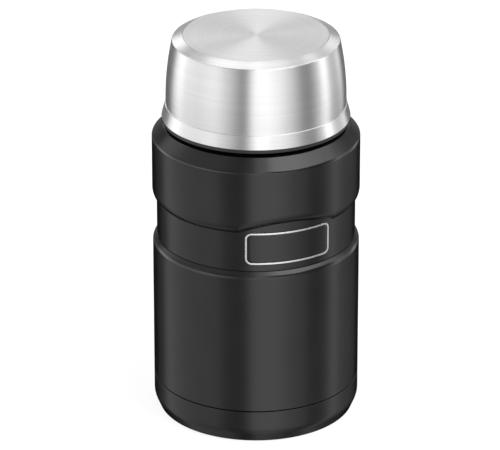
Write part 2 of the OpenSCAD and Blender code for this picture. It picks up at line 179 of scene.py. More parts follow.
@dataclass
class Patch:
    """A grid of points that becomes part of one mesh. Its last column joins its first.

    Args:
        points: rows x columns x 3.
        closed_rows: whether the last row joins the first.
    """

    points: np.ndarray
    closed_rows: bool = False

    def faces(self) -> np.ndarray:
        """The grid's squares, each from (i, j) by (i, j+1) and (i+1, j+1) to (i+1, j).

        Returns:
            Four point numbers for each square, one row each.
        """
        rows, columns = self.points.shape[:2]
        i = np.arange(rows if self.closed_rows else rows - 1)[:, None]
        j = np.arange(columns)[None, :]
        i2, j2 = (i + 1) % rows, (j + 1) % columns
        corners = [i * columns + j, i * columns + j2, i2 * columns + j2, i2 * columns + j]
        return np.stack(corners, axis=-1).reshape(-1, 4)

    def distances(self) -> np.ndarray:
        """How far each point lies along the profile: the running sum of the first column's steps.

        Returns:
            One distance for each point, as a flat array.
        """
        steps = np.linalg.norm(np.diff(self.points[:, 0], axis=0), axis=1)
        return np.repeat(np.concatenate([[0.0], np.cumsum(steps)]), self.points.shape[1])


def turned(line: np.ndarray, columns: int = 240, closed: bool = False) -> Patch:
    """A line (r, z) turned round the axis: the point (r cos t, r sin t, z) for every angle t.

    Args:
        line: points (r, z).
        columns: number of angles.
        closed: whether the line's end joins its start.

    Returns:
        The patch.
    """
    t = np.linspace(0.0, 2 * math.pi, columns, endpoint=False)[None, :]
    r, z = line[:, :1], line[:, 1:]
    return Patch(np.stack([r * np.cos(t), r * np.sin(t), z + 0 * t], axis=-1), closed_rows=closed)


@dataclass(frozen=True)
class Thread:
    """A set of equal helical ridges.

    Args:
        root_r: radius of the wall that they stand on.
        crest_r: radius of their crests.
        z: height of the first ridge's lower end.
        lead: rise in a full turn.
        starts: number of ridges.
        turn: degrees that one ridge covers.
        root_w: width at the wall.
        crest_w: width at the crest.
        fade: degrees over which an end sinks into the wall.
        sink: how deep the ridge's foot lies in the wall.
        roundness: power of the section's arch, from 0 for square to 1 for half round.
    """

    root_r: float
    crest_r: float
    z: float
    lead: float = 12.0
    starts: int = 3
    turn: float = 200.0
    root_w: float = 1.7
    crest_w: float = 1.0
    fade: float = 14.0
    sink: float = 0.3
    roundness: float = 0.55

    def patches(self) -> list[Patch]:
        """One closed patch for each ridge.

        A ridge is a round-topped section carried along a helix: at the share u of its length it
        stands at the angle turn * u and has climbed lead * turn * u / 360. At the angle a of the
        section its height is sin(a) to the power of the roundness. Both ends sink into the wall
        as smooth steps.

        Returns:
            The patches.
        """
        u = np.linspace(0.0, 1.0, 121)[:, None]
        a = np.linspace(0.0, math.pi, 9)[None, :]
        swell = np.clip(np.minimum(u, 1 - u) * self.turn / self.fade, 0.0, 1.0)
        swell = swell * swell * (3 - 2 * swell)
        out = np.sin(a) ** self.roundness
        side = -np.cos(a) * (self.root_w + (self.crest_w - self.root_w) * out) / 2
        sink = self.sink * math.copysign(1.0, self.crest_r - self.root_r)
        r = self.root_r - sink + (self.crest_r - self.root_r + sink) * out * swell
        z = self.z + self.lead * self.turn * u / 360 + side * swell
        made = []
        for k in range(self.starts):
            t = np.radians(self.turn * u + 360.0 * k / self.starts)
            made.append(Patch(np.stack([r * np.cos(t), r * np.sin(t), z], axis=-1)))
        return made


def shade(mesh: bpy.types.Mesh, sharp_angle: float) -> None:
    """Smooth shading with sharp edges where faces meet at more than the given angle in degrees."""
    mesh.shade_smooth()
    mesh.set_sharp_from_angle(angle=math.radians(sharp_angle))


def patch_mesh(name: str, patches: list[Patch], sharp_angle: float) -> bpy.types.Mesh:
    """One mesh made from patches, in metres, with doubles merged and faces turned outwards.

    Args:
        name: the mesh's name.
        patches: what it is made of.
        sharp_angle: angle in degrees past which an edge is sharp.

    Returns:
        The mesh, with each point's distance along its profile as the attribute "along".
    """
    starts = np.cumsum([0] + [p.points.shape[0] * p.points.shape[1] for p in patches])
    points = np.concatenate([p.points.reshape(-1, 3) for p in patches]) * MM
    faces = np.concatenate([p.faces() + s for p, s in zip(patches, starts)])
    along = np.concatenate([p.distances() for p in patches]) * MM
    mesh = bpy.data.meshes.new(name)
    mesh.from_pydata(points, [], faces)
    layer = mesh.attributes.new("along", "FLOAT", "POINT")
    layer.data.foreach_set("value", along.astype(np.float32))
    work = bmesh.new()
    work.from_mesh(mesh)
    bmesh.ops.remove_doubles(work, verts=work.verts, dist=2e-6)
    bmesh.ops.dissolve_degenerate(work, dist=1e-7, edges=work.edges)
    bmesh.ops.recalc_face_normals(work, faces=work.faces)
    work.to_mesh(mesh)
    work.free()
    shade(mesh, sharp_angle)
    return mesh


def add_piece(
    name: str, mesh: bpy.types.Mesh, body: Body, node: str, material: bpy.types.Material
) -> None:
    """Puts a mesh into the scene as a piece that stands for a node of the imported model.

    Args:
        name: the piece's name.
        mesh: its mesh, in its place.
        body: what it rides on.
        node: the node that it stands for.
        material: its finish.
    """
    piece = bpy.data.objects.new(name, mesh)
    mesh.materials.clear()
    mesh.materials.append(material)
    bpy.context.scene.collection.objects.link(piece)
    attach(piece, body.value)
    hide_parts(node)
    log.info("%s: %d faces, rides on %s, stands for %s", name, len(mesh.polygons), body.value, node)


# ---------------------------------------------------------------- finishes


class NodeSheet:
    """A material's node tree, with short ways to add to it."""

    def __init__(self, name: str) -> None:
        """Makes the material and keeps its main shader.

        Args:
            name: the material's name.
        """
        self.material = bpy.data.materials.new(name)
        self.material.use_nodes = True
        self.tree = self.material.node_tree
        self.shader = self.tree.nodes["Principled BSDF"]
        self.surface = self.tree.nodes.new("ShaderNodeTexCoord").outputs["Object"]

    def set(self, **values: float | tuple[float, ...]) -> None:
        """Sets the shader's own sockets, named with underscores for spaces."""
        for key, value in values.items():
            self.shader.inputs[key.replace("_", " ")].default_value = value

    def link(self, output: bpy.types.NodeSocket, socket: str) -> None:
        """Links an output to one of the shader's sockets."""
        self.tree.links.new(output, self.shader.inputs[socket])

    def scaled(self, by: tuple[float, float, float]) -> bpy.types.NodeSocket:
        """Object coordinates, each multiplied by its own factor.

        Args:
            by: the factors for x, y and z.

        Returns:
            The vector (x * by x, y * by y, z * by z).
        """
        node = self.tree.nodes.new("ShaderNodeVectorMath")
        node.operation = "MULTIPLY"
        node.inputs[1].default_value = by
        self.tree.links.new(self.surface, node.inputs[0])
        return node.outputs[0]

    def layered(self, drift: float, fine: float, grain: Grain) -> bpy.types.NodeSocket:
        """Coordinates in thin layers along the profile that drift slowly round the axis.

        Args:
            drift: how fast the layers change across x and y.
            fine: how fast they change along the profile, or with height.
            grain: which of the two they follow.

        Returns:
            The vector (x * drift, y * drift, distance * fine).
        """
        if grain is Grain.HEIGHT:
            return self.scaled((drift, drift, fine))
        nodes, links = self.tree.nodes, self.tree.links
        reader = nodes.new("ShaderNodeAttribute")
        reader.attribute_name = "along"
        times = nodes.new("ShaderNodeMath")
        times.operation = "MULTIPLY"
        times.inputs[1].default_value = fine
        links.new(reader.outputs["Fac"], times.inputs[0])
        upright = nodes.new("ShaderNodeCombineXYZ")
        links.new(times.outputs[0], upright.inputs["Z"])
        both = nodes.new("ShaderNodeVectorMath")
        both.operation = "ADD"
        links.new(self.scaled((drift, drift, 0.0)), both.inputs[0])
        links.new(upright.outputs[0], both.inputs[1])
        return both.outputs[0]

    def noise(self, vector: bpy.types.NodeSocket, scale: float, detail: float) -> bpy.types.NodeSocket:
        """Noise from 0 to 1 on a vector.

        Args:
            vector: where the noise is read.
            scale: how fine it is, in features for each metre where the vector is in metres.
            detail: how many finer layers it has.

        Returns:
            The noise value.
        """
        node = self.tree.nodes.new("ShaderNodeTexNoise")
        node.inputs["Scale"].default_value = scale
        node.inputs["Detail"].default_value = detail
        self.tree.links.new(vector, node.inputs["Vector"])
        return node.outputs["Fac"]

    def spread(self, value: bpy.types.NodeSocket, low: float, high: float) -> bpy.types.NodeSocket:
        """A noise value from 0.3 to 0.7 stretched to the range from low to high.

        Args:
            value: the noise value.
            low: what 0.3 becomes.
            high: what 0.7 becomes.

        Returns:
            The stretched value.
        """
        node = self.tree.nodes.new("ShaderNodeMapRange")
        node.inputs["From Min"].default_value = 0.3
        node.inputs["From Max"].default_value = 0.7
        node.inputs["To Min"].default_value = low
        node.inputs["To Max"].default_value = high
        self.tree.links.new(value, node.inputs["Value"])
        return node.outputs["Result"]

    def tones(
        self, value: bpy.types.NodeSocket, dark: tuple[float, ...], light: tuple[float, ...]
    ) -> bpy.types.NodeSocket:
        """A colour between two tones, by a noise value.

        Args:
            value: the noise value.
            dark: the tone up to 0.35.
            light: the tone from 0.65.

        Returns:
            The colour.
        """
        node = self.tree.nodes.new("ShaderNodeValToRGB")
        node.color_ramp.elements[0].position = 0.35
        node.color_ramp.elements[1].position = 0.65
        node.color_ramp.elements[0].color = (*dark, 1.0)
        node.color_ramp.elements[1].color = (*light, 1.0)
        self.tree.links.new(value, node.inputs["Fac"])
        return node.outputs["Color"]

    def bump(
        self, height: bpy.types.NodeSocket, depth: float, under: bpy.types.NodeSocket | None = None
    ) -> bpy.types.NodeSocket:
        """A bumped normal.

        Args:
            height: the height, from 0 to 1.
            depth: what 1 is, in millimetres.
            under: another bump that this one lies on.

        Returns:
            The normal.
        """
        node = self.tree.nodes.new("ShaderNodeBump")
        node.inputs["Distance"].default_value = depth * MM
        self.tree.links.new(height, node.inputs["Height"])
        if under is not None:
            self.tree.links.new(under, node.inputs["Normal"])
        return node.outputs["Normal"]


@dataclass(frozen=True)
class PowderCoat:
    """Satin black paint with the faint waviness and grit of a baked powder coat.

    Args:
        name: the material's name.
        dark: darker tone.
        light: lighter tone.
        roughness: middle roughness.
        unevenness: how far the roughness goes up and down.
        wave_scale: waves in a metre.
        wave_depth: their depth.
        grit_scale: grains in a metre.
        grit_depth: their depth.
        cloud_scale: patches of tone in a metre.
    """

    name: str = "satin_powder_coat"
    dark: tuple[float, float, float] = (0.0050, 0.0050, 0.0054)
    light: tuple[float, float, float] = (0.0070, 0.0070, 0.0075)
    roughness: float = 0.20
    unevenness: float = 0.025
    wave_scale: float = 700.0
    wave_depth: float = 0.005
    grit_scale: float = 4200.0
    grit_depth: float = 0.0015
    cloud_scale: float = 45.0

    def material(self) -> bpy.types.Material:
        """Mixes tone and roughness from slow clouds, and lays fine grit on slow waves.

        Returns:
            The paint's material.
        """
        sheet = NodeSheet(self.name)
        wave = sheet.noise(sheet.surface, self.wave_scale, 1.0)
        grit = sheet.noise(sheet.surface, self.grit_scale, 3.0)
        cloud = sheet.noise(sheet.surface, self.cloud_scale, 3.0)
        low, high = self.roughness - self.unevenness, self.roughness + self.unevenness
        sheet.link(sheet.tones(cloud, self.dark, self.light), "Base Color")
        sheet.link(sheet.spread(cloud, low, high), "Roughness")
        waves = sheet.bump(wave, self.wave_depth)
        sheet.link(sheet.bump(grit, self.grit_depth, under=waves), "Normal")
        return sheet.material


@dataclass(frozen=True)
class BrushedSteel:
    """Steel with fine lines that run round the axis.

    Args:
        name: the material's name.
        dark: darker tone.
        light: lighter tone.
        roughness: middle roughness.
        unevenness: how far the roughness goes up and down.
        stretch: how much longer highlights are across the lines than along them.
        line_depth: depth of the lines.
        fine: lines in a millimetre.
        band_share: wider bands of tone for each line.
        grain: what the lines follow.
    """

    name: str
    dark: tuple[float, float, float] = (0.71, 0.71, 0.715)
    light: tuple[float, float, float] = (0.75, 0.75, 0.755)
    roughness: float = 0.34
    unevenness: float = 0.02
    stretch: float = 0.94
    line_depth: float = 0.0004
    fine: float = 6.0
    band_share: float = 0.12
    grain: Grain = Grain.PROFILE

    def material(self) -> bpy.types.Material:
        """Takes tone from wide bands, roughness and bump from fine lines, and stretches highlights.

        Returns:
            The steel's material.
        """
        sheet = NodeSheet(self.name)
        lines = sheet.noise(sheet.layered(25.0, self.fine / MM, self.grain), 1.0, 2.0)
        bands = sheet.noise(sheet.layered(12.0, self.band_share * self.fine / MM, self.grain), 1.0, 3.0)
        low, high = self.roughness - self.unevenness, self.roughness + self.unevenness
        sheet.set(Metallic=1.0, Anisotropic=self.stretch, Anisotropic_Rotation=0.25)
        sheet.link(sheet.tones(bands, self.dark, self.light), "Base Color")
        sheet.link(sheet.spread(lines, low, high), "Roughness")
        sheet.link(sheet.bump(lines, self.line_depth), "Normal")
        round_axis = sheet.tree.nodes.new("ShaderNodeTangent")
        round_axis.direction_type = "RADIAL"
        round_axis.axis = "Z"
        sheet.link(round_axis.outputs["Tangent"], "Tangent")
        return sheet.material


@dataclass(frozen=True)
class MouldedPlastic:
    """Black plastic with the fine spark-eroded texture of its mould.

    Args:
        name: the material's name.
        dark: darker tone.
        light: lighter tone.
        roughness: middle roughness.
        pit_scale: pits in a metre.
        pit_depth: their depth.
        cloud_scale: patches of tone in a metre.
    """

    name: str = "moulded_black_plastic"
    dark: tuple[float, float, float] = (0.012, 0.012, 0.0125)
    light: tuple[float, float, float] = (0.019, 0.019, 0.0195)
    roughness: float = 0.42
    pit_scale: float = 2600.0
    pit_depth: float = 0.012
    cloud_scale: float = 60.0

    def material(self) -> bpy.types.Material:
        """Takes tone from slow clouds, and roughness and bump from the mould's pits.

        Returns:
            The plastic's material.
        """
        sheet = NodeSheet(self.name)
        pits = sheet.noise(sheet.surface, self.pit_scale, 2.0)
        cloud = sheet.noise(sheet.surface, self.cloud_scale, 2.0)
        sheet.link(sheet.tones(cloud, self.dark, self.light), "Base Color")
        sheet.link(sheet.spread(pits, self.roughness - 0.05, self.roughness + 0.06), "Roughness")
        sheet.link(sheet.bump(pits, self.pit_depth), "Normal")
        return sheet.material


@dataclass(frozen=True)
class Silicone:
    """Grey silicone with a soft, slightly dusty skin.

    Args:
        name: the material's name.
        dark: darker tone.
        light: lighter tone.
        roughness: middle roughness.
        skin_scale: ripples of the skin in a metre.
        skin_depth: their depth.
        dust_scale: patches of dust in a metre.
    """

    name: str = "grey_silicone"
    dark: tuple[float, float, float] = (0.30, 0.31, 0.32)
    light: tuple[float, float, float] = (0.38, 0.39, 0.40)
    roughness: float = 0.5
    skin_scale: float = 1500.0
    skin_depth: float = 0.008
    dust_scale: float = 90.0

    def material(self) -> bpy.types.Material:
        """Takes tone and roughness from the dust, bump from the skin, and lets a little light in.

        Returns:
            The silicone's material.
        """
        sheet = NodeSheet(self.name)
        skin = sheet.noise(sheet.surface, self.skin_scale, 3.0)
        dust = sheet.noise(sheet.surface, self.dust_scale, 4.0)
        sheet.set(Subsurface_Weight=0.1, Subsurface_Radius=(0.002, 0.002, 0.002))
        sheet.link(sheet.tones(dust, self.dark, self.light), "Base Color")
        sheet.link(sheet.spread(dust, self.roughness - 0.06, self.roughness + 0.1), "Roughness")
        sheet.link(sheet.bump(skin, self.skin_depth), "Normal")
        return sheet.material


@dataclass(frozen=True)
class BrightTrim:
    """The bright strip round the nameplate, drawn lengthwise.

    Args:
        name: the material's name.
        dark: darker tone.
        light: lighter tone.
        roughness: middle roughness.
        scuff_scale: scuffs in a metre along x, y and z.
        scuff_depth: their depth.
    """

    name: str = "bright_trim"
    dark: tuple[float, float, float] = (0.62, 0.62, 0.63)
    light: tuple[float, float, float] = (0.80, 0.80, 0.81)
    roughness: float = 0.3
    scuff_scale: tuple[float, float, float] = (900.0, 900.0, 2200.0)
    scuff_depth: float = 0.002

    def material(self) -> bpy.types.Material:
        """Takes tone, roughness and bump from the same fine scuffs.

        Returns:
            The strip's material.
        """
        sheet = NodeSheet(self.name)
        scuffs = sheet.noise(sheet.scaled(self.scuff_scale), 1.0, 3.0)
        sheet.set(Metallic=1.0)
        sheet.link(sheet.tones(scuffs, self.dark, self.light), "Base Color")
        sheet.link(sheet.spread(scuffs, self.roughness - 0.06, self.roughness + 0.08), "Roughness")
        sheet.link(sheet.bump(scuffs, self.scuff_depth), "Normal")
        return sheet.material


@dataclass(frozen=True)
class RoughCast:
    """A dull or bright metal or foam with a grainy or crumpled surface.

    Args:
        name: the material's name.
        dark: darker tone.
        light: lighter tone.
        metallic: 1 for metal.
        roughness: middle roughness.
        grain_size: size of the grains or crumples.
        depth: their depth.
    """

    name: str
    dark: tuple[float, float, float]
    light: tuple[float, float, float]
    metallic: float
    roughness: float
    grain_size: float
    depth: float

    def material(self) -> bpy.types.Material:
        """Takes tone and roughness from slow clouds, and bump from the grains.

        Returns:
            The material.
        """
        sheet = NodeSheet(self.name)
        cells = sheet.tree.nodes.new("ShaderNodeTexVoronoi")
        cells.inputs["Scale"].default_value = 1.0 / (self.grain_size * MM)
        sheet.tree.links.new(sheet.surface, cells.inputs["Vector"])
        cloud = sheet.noise(sheet.surface, 0.4 / (self.grain_size * MM), 3.0)
        sheet.set(Metallic=self.metallic)
        sheet.link(sheet.tones(cloud, self.dark, self.light), "Base Color")
        sheet.link(sheet.spread(cloud, self.roughness - 0.08, self.roughness + 0.08), "Roughness")
        sheet.link(sheet.bump(cells.outputs["Distance"], self.depth), "Normal")
        return sheet.material


@dataclass
class Finishes:
    """Every finish of the jar, each made once.

    Args:
        paint: the shell and the base cup.
        plate: the nameplate.
        plastic: the stopper's mouldings and the bowl's collar.
        silicone: the gasket and the seal ring.
        trim: the strip round the nameplate.
        bowl_steel: the bowl's outer wall.
        disc_steel: the bowl's disc.
        liner_steel: the liner, its bottom and the bowl's inner wall.
        plain_steel: the plate that closes the vacuum space.
        foil: the foil round the liner.
        solder: the bead in the evacuation hole.
        getter: the tablet in the vacuum space.
        foam: the stopper's insulation.
    """

    paint: bpy.types.Material = field(default_factory=PowderCoat().material)
    plate: bpy.types.Material = field(
        default_factory=PowderCoat("nameplate_black", roughness=0.25, wave_depth=0.004).material
    )
    plastic: bpy.types.Material = field(default_factory=MouldedPlastic().material)
    silicone: bpy.types.Material = field(default_factory=Silicone().material)
    trim: bpy.types.Material = field(default_factory=BrightTrim().material)
    bowl_steel: bpy.types.Material = field(default_factory=BrushedSteel("bowl_steel").material)
    disc_steel: bpy.types.Material = field(
        default_factory=BrushedSteel("disc_steel", roughness=0.38, stretch=0.72).material
    )
    liner_steel: bpy.types.Material = field(
        default_factory=BrushedSteel("liner_steel", roughness=0.24, stretch=0.6, fine=2.5).material
    )
    plain_steel: bpy.types.Material = field(
        default_factory=BrushedSteel(
            "plain_steel", (0.50, 0.50, 0.51), (0.60, 0.60, 0.61), 0.35, stretch=0.3, grain=Grain.HEIGHT
        ).material
    )
    foil: bpy.types.Material = field(
        default_factory=RoughCast(
            "copper_foil", (0.80, 0.46, 0.30), (0.90, 0.60, 0.42), 1.0, 0.22, 6.0, 0.12
        ).material
    )
    solder: bpy.types.Material = field(
        default_factory=RoughCast(
            "solder_bead", (0.50, 0.50, 0.52), (0.66, 0.66, 0.68), 1.0, 0.3, 0.8, 0.03
        ).material
    )
    getter: bpy.types.Material = field(
        default_factory=RoughCast(
            "getter_tablet", (0.14, 0.14, 0.15), (0.24, 0.24, 0.25), 0.6, 0.6, 0.4, 0.03
        ).material
    )
    foam: bpy.types.Material = field(
        default_factory=RoughCast(
            "rigid_foam", (0.78, 0.74, 0.60), (0.88, 0.85, 0.74), 0.0, 0.85, 0.7, 0.1
        ).material
    )


# ---------------------------------------------------------------- the jar


@dataclass
class JarBody:
    """The painted outer shell with its grip band and arch, and the base cup under it.

    Args:
        upper_r: radius of the upper section.
        lower_r: radius of the lower section.
        band_r: radius of the grip band between them.
        wall: thickness of the sheet.
        sleeve_r: radius of the shell's end that the base cup goes over.
        sleeve_bottom: height of that end.
        seam_h: height of the seam over the base cup.
        seam_gap: how far the seam stands open.
        seam_lip: how much higher the shell's own edge stands.
        cup_drop: how much lower the base cup's edge stands.
        groove: width and depth of the groove under the upper section.
        crease: width and depth of the crease over the lower section.
        lower_top: height of the lower section's chamfer where it meets the band.
        lower_round: rounding between that chamfer and the side.
        band_top: height of the band's upper end.
        upper_round: height of the upper section's rounded lower edge.
        shoulder_slope: lean of the shoulder and of the chamfer, in degrees from the level.
        shoulder_radius: rounding between the shoulder and the side.
        ledge_h: height of the flat ledge at the neck's foot.
        ledge_r: radius at which the shoulder starts to fall from it.
        neck_r: radius of the neck.
        mouth_h: height of the mouth's edge.
        neck_thread_h: height at which the neck's thread starts.
        neck_thread_d: how far the thread stands out.
        arch_w: width of the arch over the nameplate.
        arch_rise: its height.
        arch_blend: how softly it leaves the straight edge, as a height.
        arch_clear: how far over the lower section the band's wall starts to follow the arch.
        foot_r: radius of the foot's flat ring.
        foot_bevel_h: height at which the foot's bevel meets the side.
        foot_round: rounding between bevel and side.
        foot_edge: rounding of the ring's outer edge.
        foot_ring_w: width of the ring.
        foot_hollow: depth of the hollow inside it.
        stamp_r: radius of the step stamped in the hollow.
        stamp_h: height of that step.
    """

    upper_r: float = 52.0
    lower_r: float = 51.85
    band_r: float = 49.8
    wall: float = 0.5
    sleeve_r: float = 50.9
    sleeve_bottom: float = 8.44
    seam_h: float = 17.3
    seam_gap: float = 0.3
    seam_lip: float = 0.12
    cup_drop: float = 0.15
    groove: float = 0.75
    crease: float = 0.5
    lower_top: float = 93.3
    lower_round: float = 3.2
    band_top: float = 114.9
    upper_round: float = 4.4
    shoulder_slope: float = 46.0
    shoulder_radius: float = 2.1
    ledge_h: float = 152.9
    ledge_r: float = 46.3
    neck_r: float = 39.1
    mouth_h: float = 168.0
    neck_thread_h: float = 158.0
    neck_thread_d: float = 1.2
    arch_w: float = 52.0
    arch_rise: float = 4.8
    arch_blend: float = 0.075
    arch_clear: float = 3.0
    foot_r: float = 49.15
    foot_bevel_h: float = 6.3
    foot_round: float = 8.0
    foot_edge: float = 0.6
    foot_ring_w: float = 3.0
    foot_hollow: float = 2.2
    stamp_r: float = 26.0
    stamp_h: float = 0.4

    def arch_height(self, distance: np.ndarray) -> np.ndarray:
        """How far the upper section's edge is raised at a distance along the band from the middle.

        It is a circle's arc of the given width and rise: its height h over the straight edge is
        rise - radius + sqrt(radius * radius - distance * distance), and the root stops falling
        past 0.8 of the radius. Where the arc meets the straight edge the corner is eased:
        (h + sqrt(h * h + blend * blend)) / 2 takes the place of max(h, 0).

        Args:
            distance: distances in millimetres.

        Returns:
            The raise at each distance.
        """
        half = self.arch_w / 2
        radius = (half * half + self.arch_rise**2) / (2 * self.arch_rise)
        root = np.sqrt(np.maximum(radius**2 - distance**2, (radius * 0.6) ** 2))
        h = self.arch_rise - radius + root
        eased = (h + np.sqrt(h * h + self.arch_blend**2)) / 2
        return np.where(np.abs(distance) > half + 8, 0.0, eased)

    @property
    def slope(self) -> float:
        """Rise of the shoulder and the chamfer for each millimetre inwards: tan(shoulder_slope)."""
        return math.tan(math.radians(self.shoulder_slope))

    @property
    def corner_h(self) -> float:
        """Height at which the shoulder meets the side's line."""
        return self.ledge_h - (self.upper_r - self.ledge_r) * self.slope

    @property
    def chamfer_h(self) -> float:
        """Height at which the lower section's chamfer meets the side's line."""
        return self.lower_top - (self.lower_r - self.band_r) * self.slope

    @property
    def sleeve_h(self) -> float:
        """Height of the shell's edge over the seam."""
        return self.seam_h + self.seam_gap + self.seam_lip

    @property
    def groove_r(self) -> float:
        """Radius of the groove's floor."""
        return self.band_r - self.groove

    @property
    def edge_h(self) -> float:
        """Height at which the upper section's lower edge ends and its side starts."""
        return self.band_top + self.upper_round

    def shell_outside(self) -> list[Corner]:
        """The shell's outer outline, from the sleeve in the base cup up to the neck's end.

        The lower section ends in a chamfer of the shoulder's slope, with a fine crease where it
        meets the band. A narrow groove draws the line under the upper section, whose lower edge
        is a quarter of an ellipse. The shoulder falls straight from the ledge to the side.

        Returns:
            The corners in order.
        """
        groove_h = self.band_top - self.groove
        edge_w = self.upper_r - self.band_r
        crease_r = self.band_r - self.crease
        crease_h = self.lower_top + self.crease
        return (
            [
                Corner(self.sleeve_r, self.sleeve_bottom),
                Corner(self.sleeve_r, self.sleeve_h, 0.05),
                Corner(self.lower_r, self.sleeve_h, 0.15),
                Corner(self.lower_r, self.chamfer_h, self.lower_round),
                Corner(self.band_r, self.lower_top, 0.05),
                Corner(crease_r, self.lower_top, 0.05),
                Corner(crease_r, crease_h, 0.05),
                Corner(self.band_r, crease_h, 0.05),
                Corner(self.band_r, groove_h, 0.12),
                Corner(self.groove_r, groove_h, 0.1),
                Corner(self.groove_r, self.band_top, 0.1),
            ]
            + ellipse(self.band_r, self.edge_h, edge_w, self.upper_round, -84, 0, 18)
            + [
                Corner(self.upper_r, self.corner_h, self.shoulder_radius),
                Corner(self.ledge_r, self.ledge_h, 0.5),
                Corner(self.neck_r, self.ledge_h, 0.6),
                Corner(self.neck_r, self.mouth_h - self.wall, 0.2),
            ]
        )

    def shell_inside(self) -> list[Corner]:
        """The shell's inner outline, from the neck's end down to the sleeve, behind the arch too.

        Returns:
            The corners in order.
        """
        w = self.wall
        arch_top = self.edge_h + self.arch_rise
        return [
            Corner(self.neck_r - w, self.mouth_h - w),
            Corner(self.neck_r - w, self.ledge_h - w),
            Corner(self.ledge_r - w, self.ledge_h - w),
            Corner(self.upper_r - w, self.corner_h - 2 * w),
            Corner(self.upper_r - w, arch_top + 1),
            Corner(self.groove_r - w, arch_top - 1),
            Corner(self.groove_r - w, self.lower_top - w),
            Corner(self.lower_r - w, self.chamfer_h - w),
            Corner(self.lower_r - w, self.sleeve_h + w),
            Corner(self.sleeve_r - w, self.sleeve_h),
            Corner(self.sleeve_r - w, self.sleeve_bottom),
        ]

    def shell_patches(self) -> list[Patch]:
        """The shell as one closed grid of profile rows and angle columns.

        The rows are a plain turned outline, except that the band's wall and the upper section's
        side stretch with the arch: a row stands at z + raise * weight, where the weight runs
        from 0 to 1 up the band, stays 1 over the rounded edge and runs back to 0 up the side.
        The columns are closer together in front, where the arch is.

        Returns:
            The shell and the thread round its neck.
        """
        line = outline(self.shell_outside() + self.shell_inside(), closed=True, step=5.0)
        narrow = np.radians(np.linspace(-125.0, -55.0, 180))
        wide = np.radians(np.linspace(-55.0, 235.0, 198))[1:-1]
        t = np.concatenate([narrow, wide])[None, :]
        raised = self.arch_height((t + math.pi / 2) * self.band_r)
        r, z = line[:, :1], line[:, 1:]
        is_outside = np.arange(len(line))[:, None] < int(np.argmax(line[:, 1])) + 1
        start = self.lower_top + self.arch_clear
        end = self.band_top - self.groove - 0.3
        share_up = np.clip((z - start) / (end - start), 0, 1)
        side_top = self.corner_h - self.shoulder_radius
        share_down = np.clip((side_top - z) / (side_top - self.edge_h), 0, 1)
        weight = np.where(z < self.edge_h, share_up, share_down) * is_outside
        points = np.stack([r * np.cos(t), r * np.sin(t), z + raised * weight], axis=-1)
        thread = Thread(self.neck_r, self.neck_r + self.neck_thread_d, self.neck_thread_h)
        return [Patch(points, closed_rows=True)] + thread.patches()

    def base_patches(self) -> list[Patch]:
        """The base cup, turned: a foot ring, a hollow with a shallow stamped step, and a rounded foot.

        Returns:
            The cup.
        """
        ring_in, w = self.foot_r - self.foot_ring_w, self.wall
        cup_top = self.seam_h - self.cup_drop
        outside = [
            Corner(0.0, self.foot_hollow + self.stamp_h),
            Corner(self.stamp_r, self.foot_hollow + self.stamp_h, 0.6),
            Corner(self.stamp_r + 0.8, self.foot_hollow, 0.6),
            Corner(ring_in - 1.32, self.foot_hollow, 0.8),
            Corner(ring_in, 0.0, 0.5),
            Corner(self.foot_r, 0.0, self.foot_edge),
            Corner(self.lower_r, self.foot_bevel_h, self.foot_round),
            Corner(self.lower_r, cup_top, 0.2),
        ]
        inside = [
            Corner(self.lower_r - w, cup_top),
            Corner(self.lower_r - w, self.foot_bevel_h, self.foot_round - w),
            Corner(self.foot_r - 0.2, w, 0.3),
            Corner(ring_in + w, w),
            Corner(ring_in - 1.0, self.foot_hollow + w),
            Corner(0.0, self.foot_hollow + w + self.stamp_h),
        ]
        return [turned(outline(outside + inside, step=5.0))]

    def build(self, finishes: Finishes) -> None:
        """Adds the shell and the base cup.

        Args:
            finishes: every finish of the jar.
        """
        shell = patch_mesh("outer_shell_painted", self.shell_patches(), 40.0)
        add_piece("outer_shell_painted", shell, Body.JAR, "outer_shell", finishes.paint)
        base = patch_mesh("base_cup_painted", self.base_patches(), 40.0)
        add_piece("base_cup_painted", base, Body.JAR, "base_cup", finishes.paint)


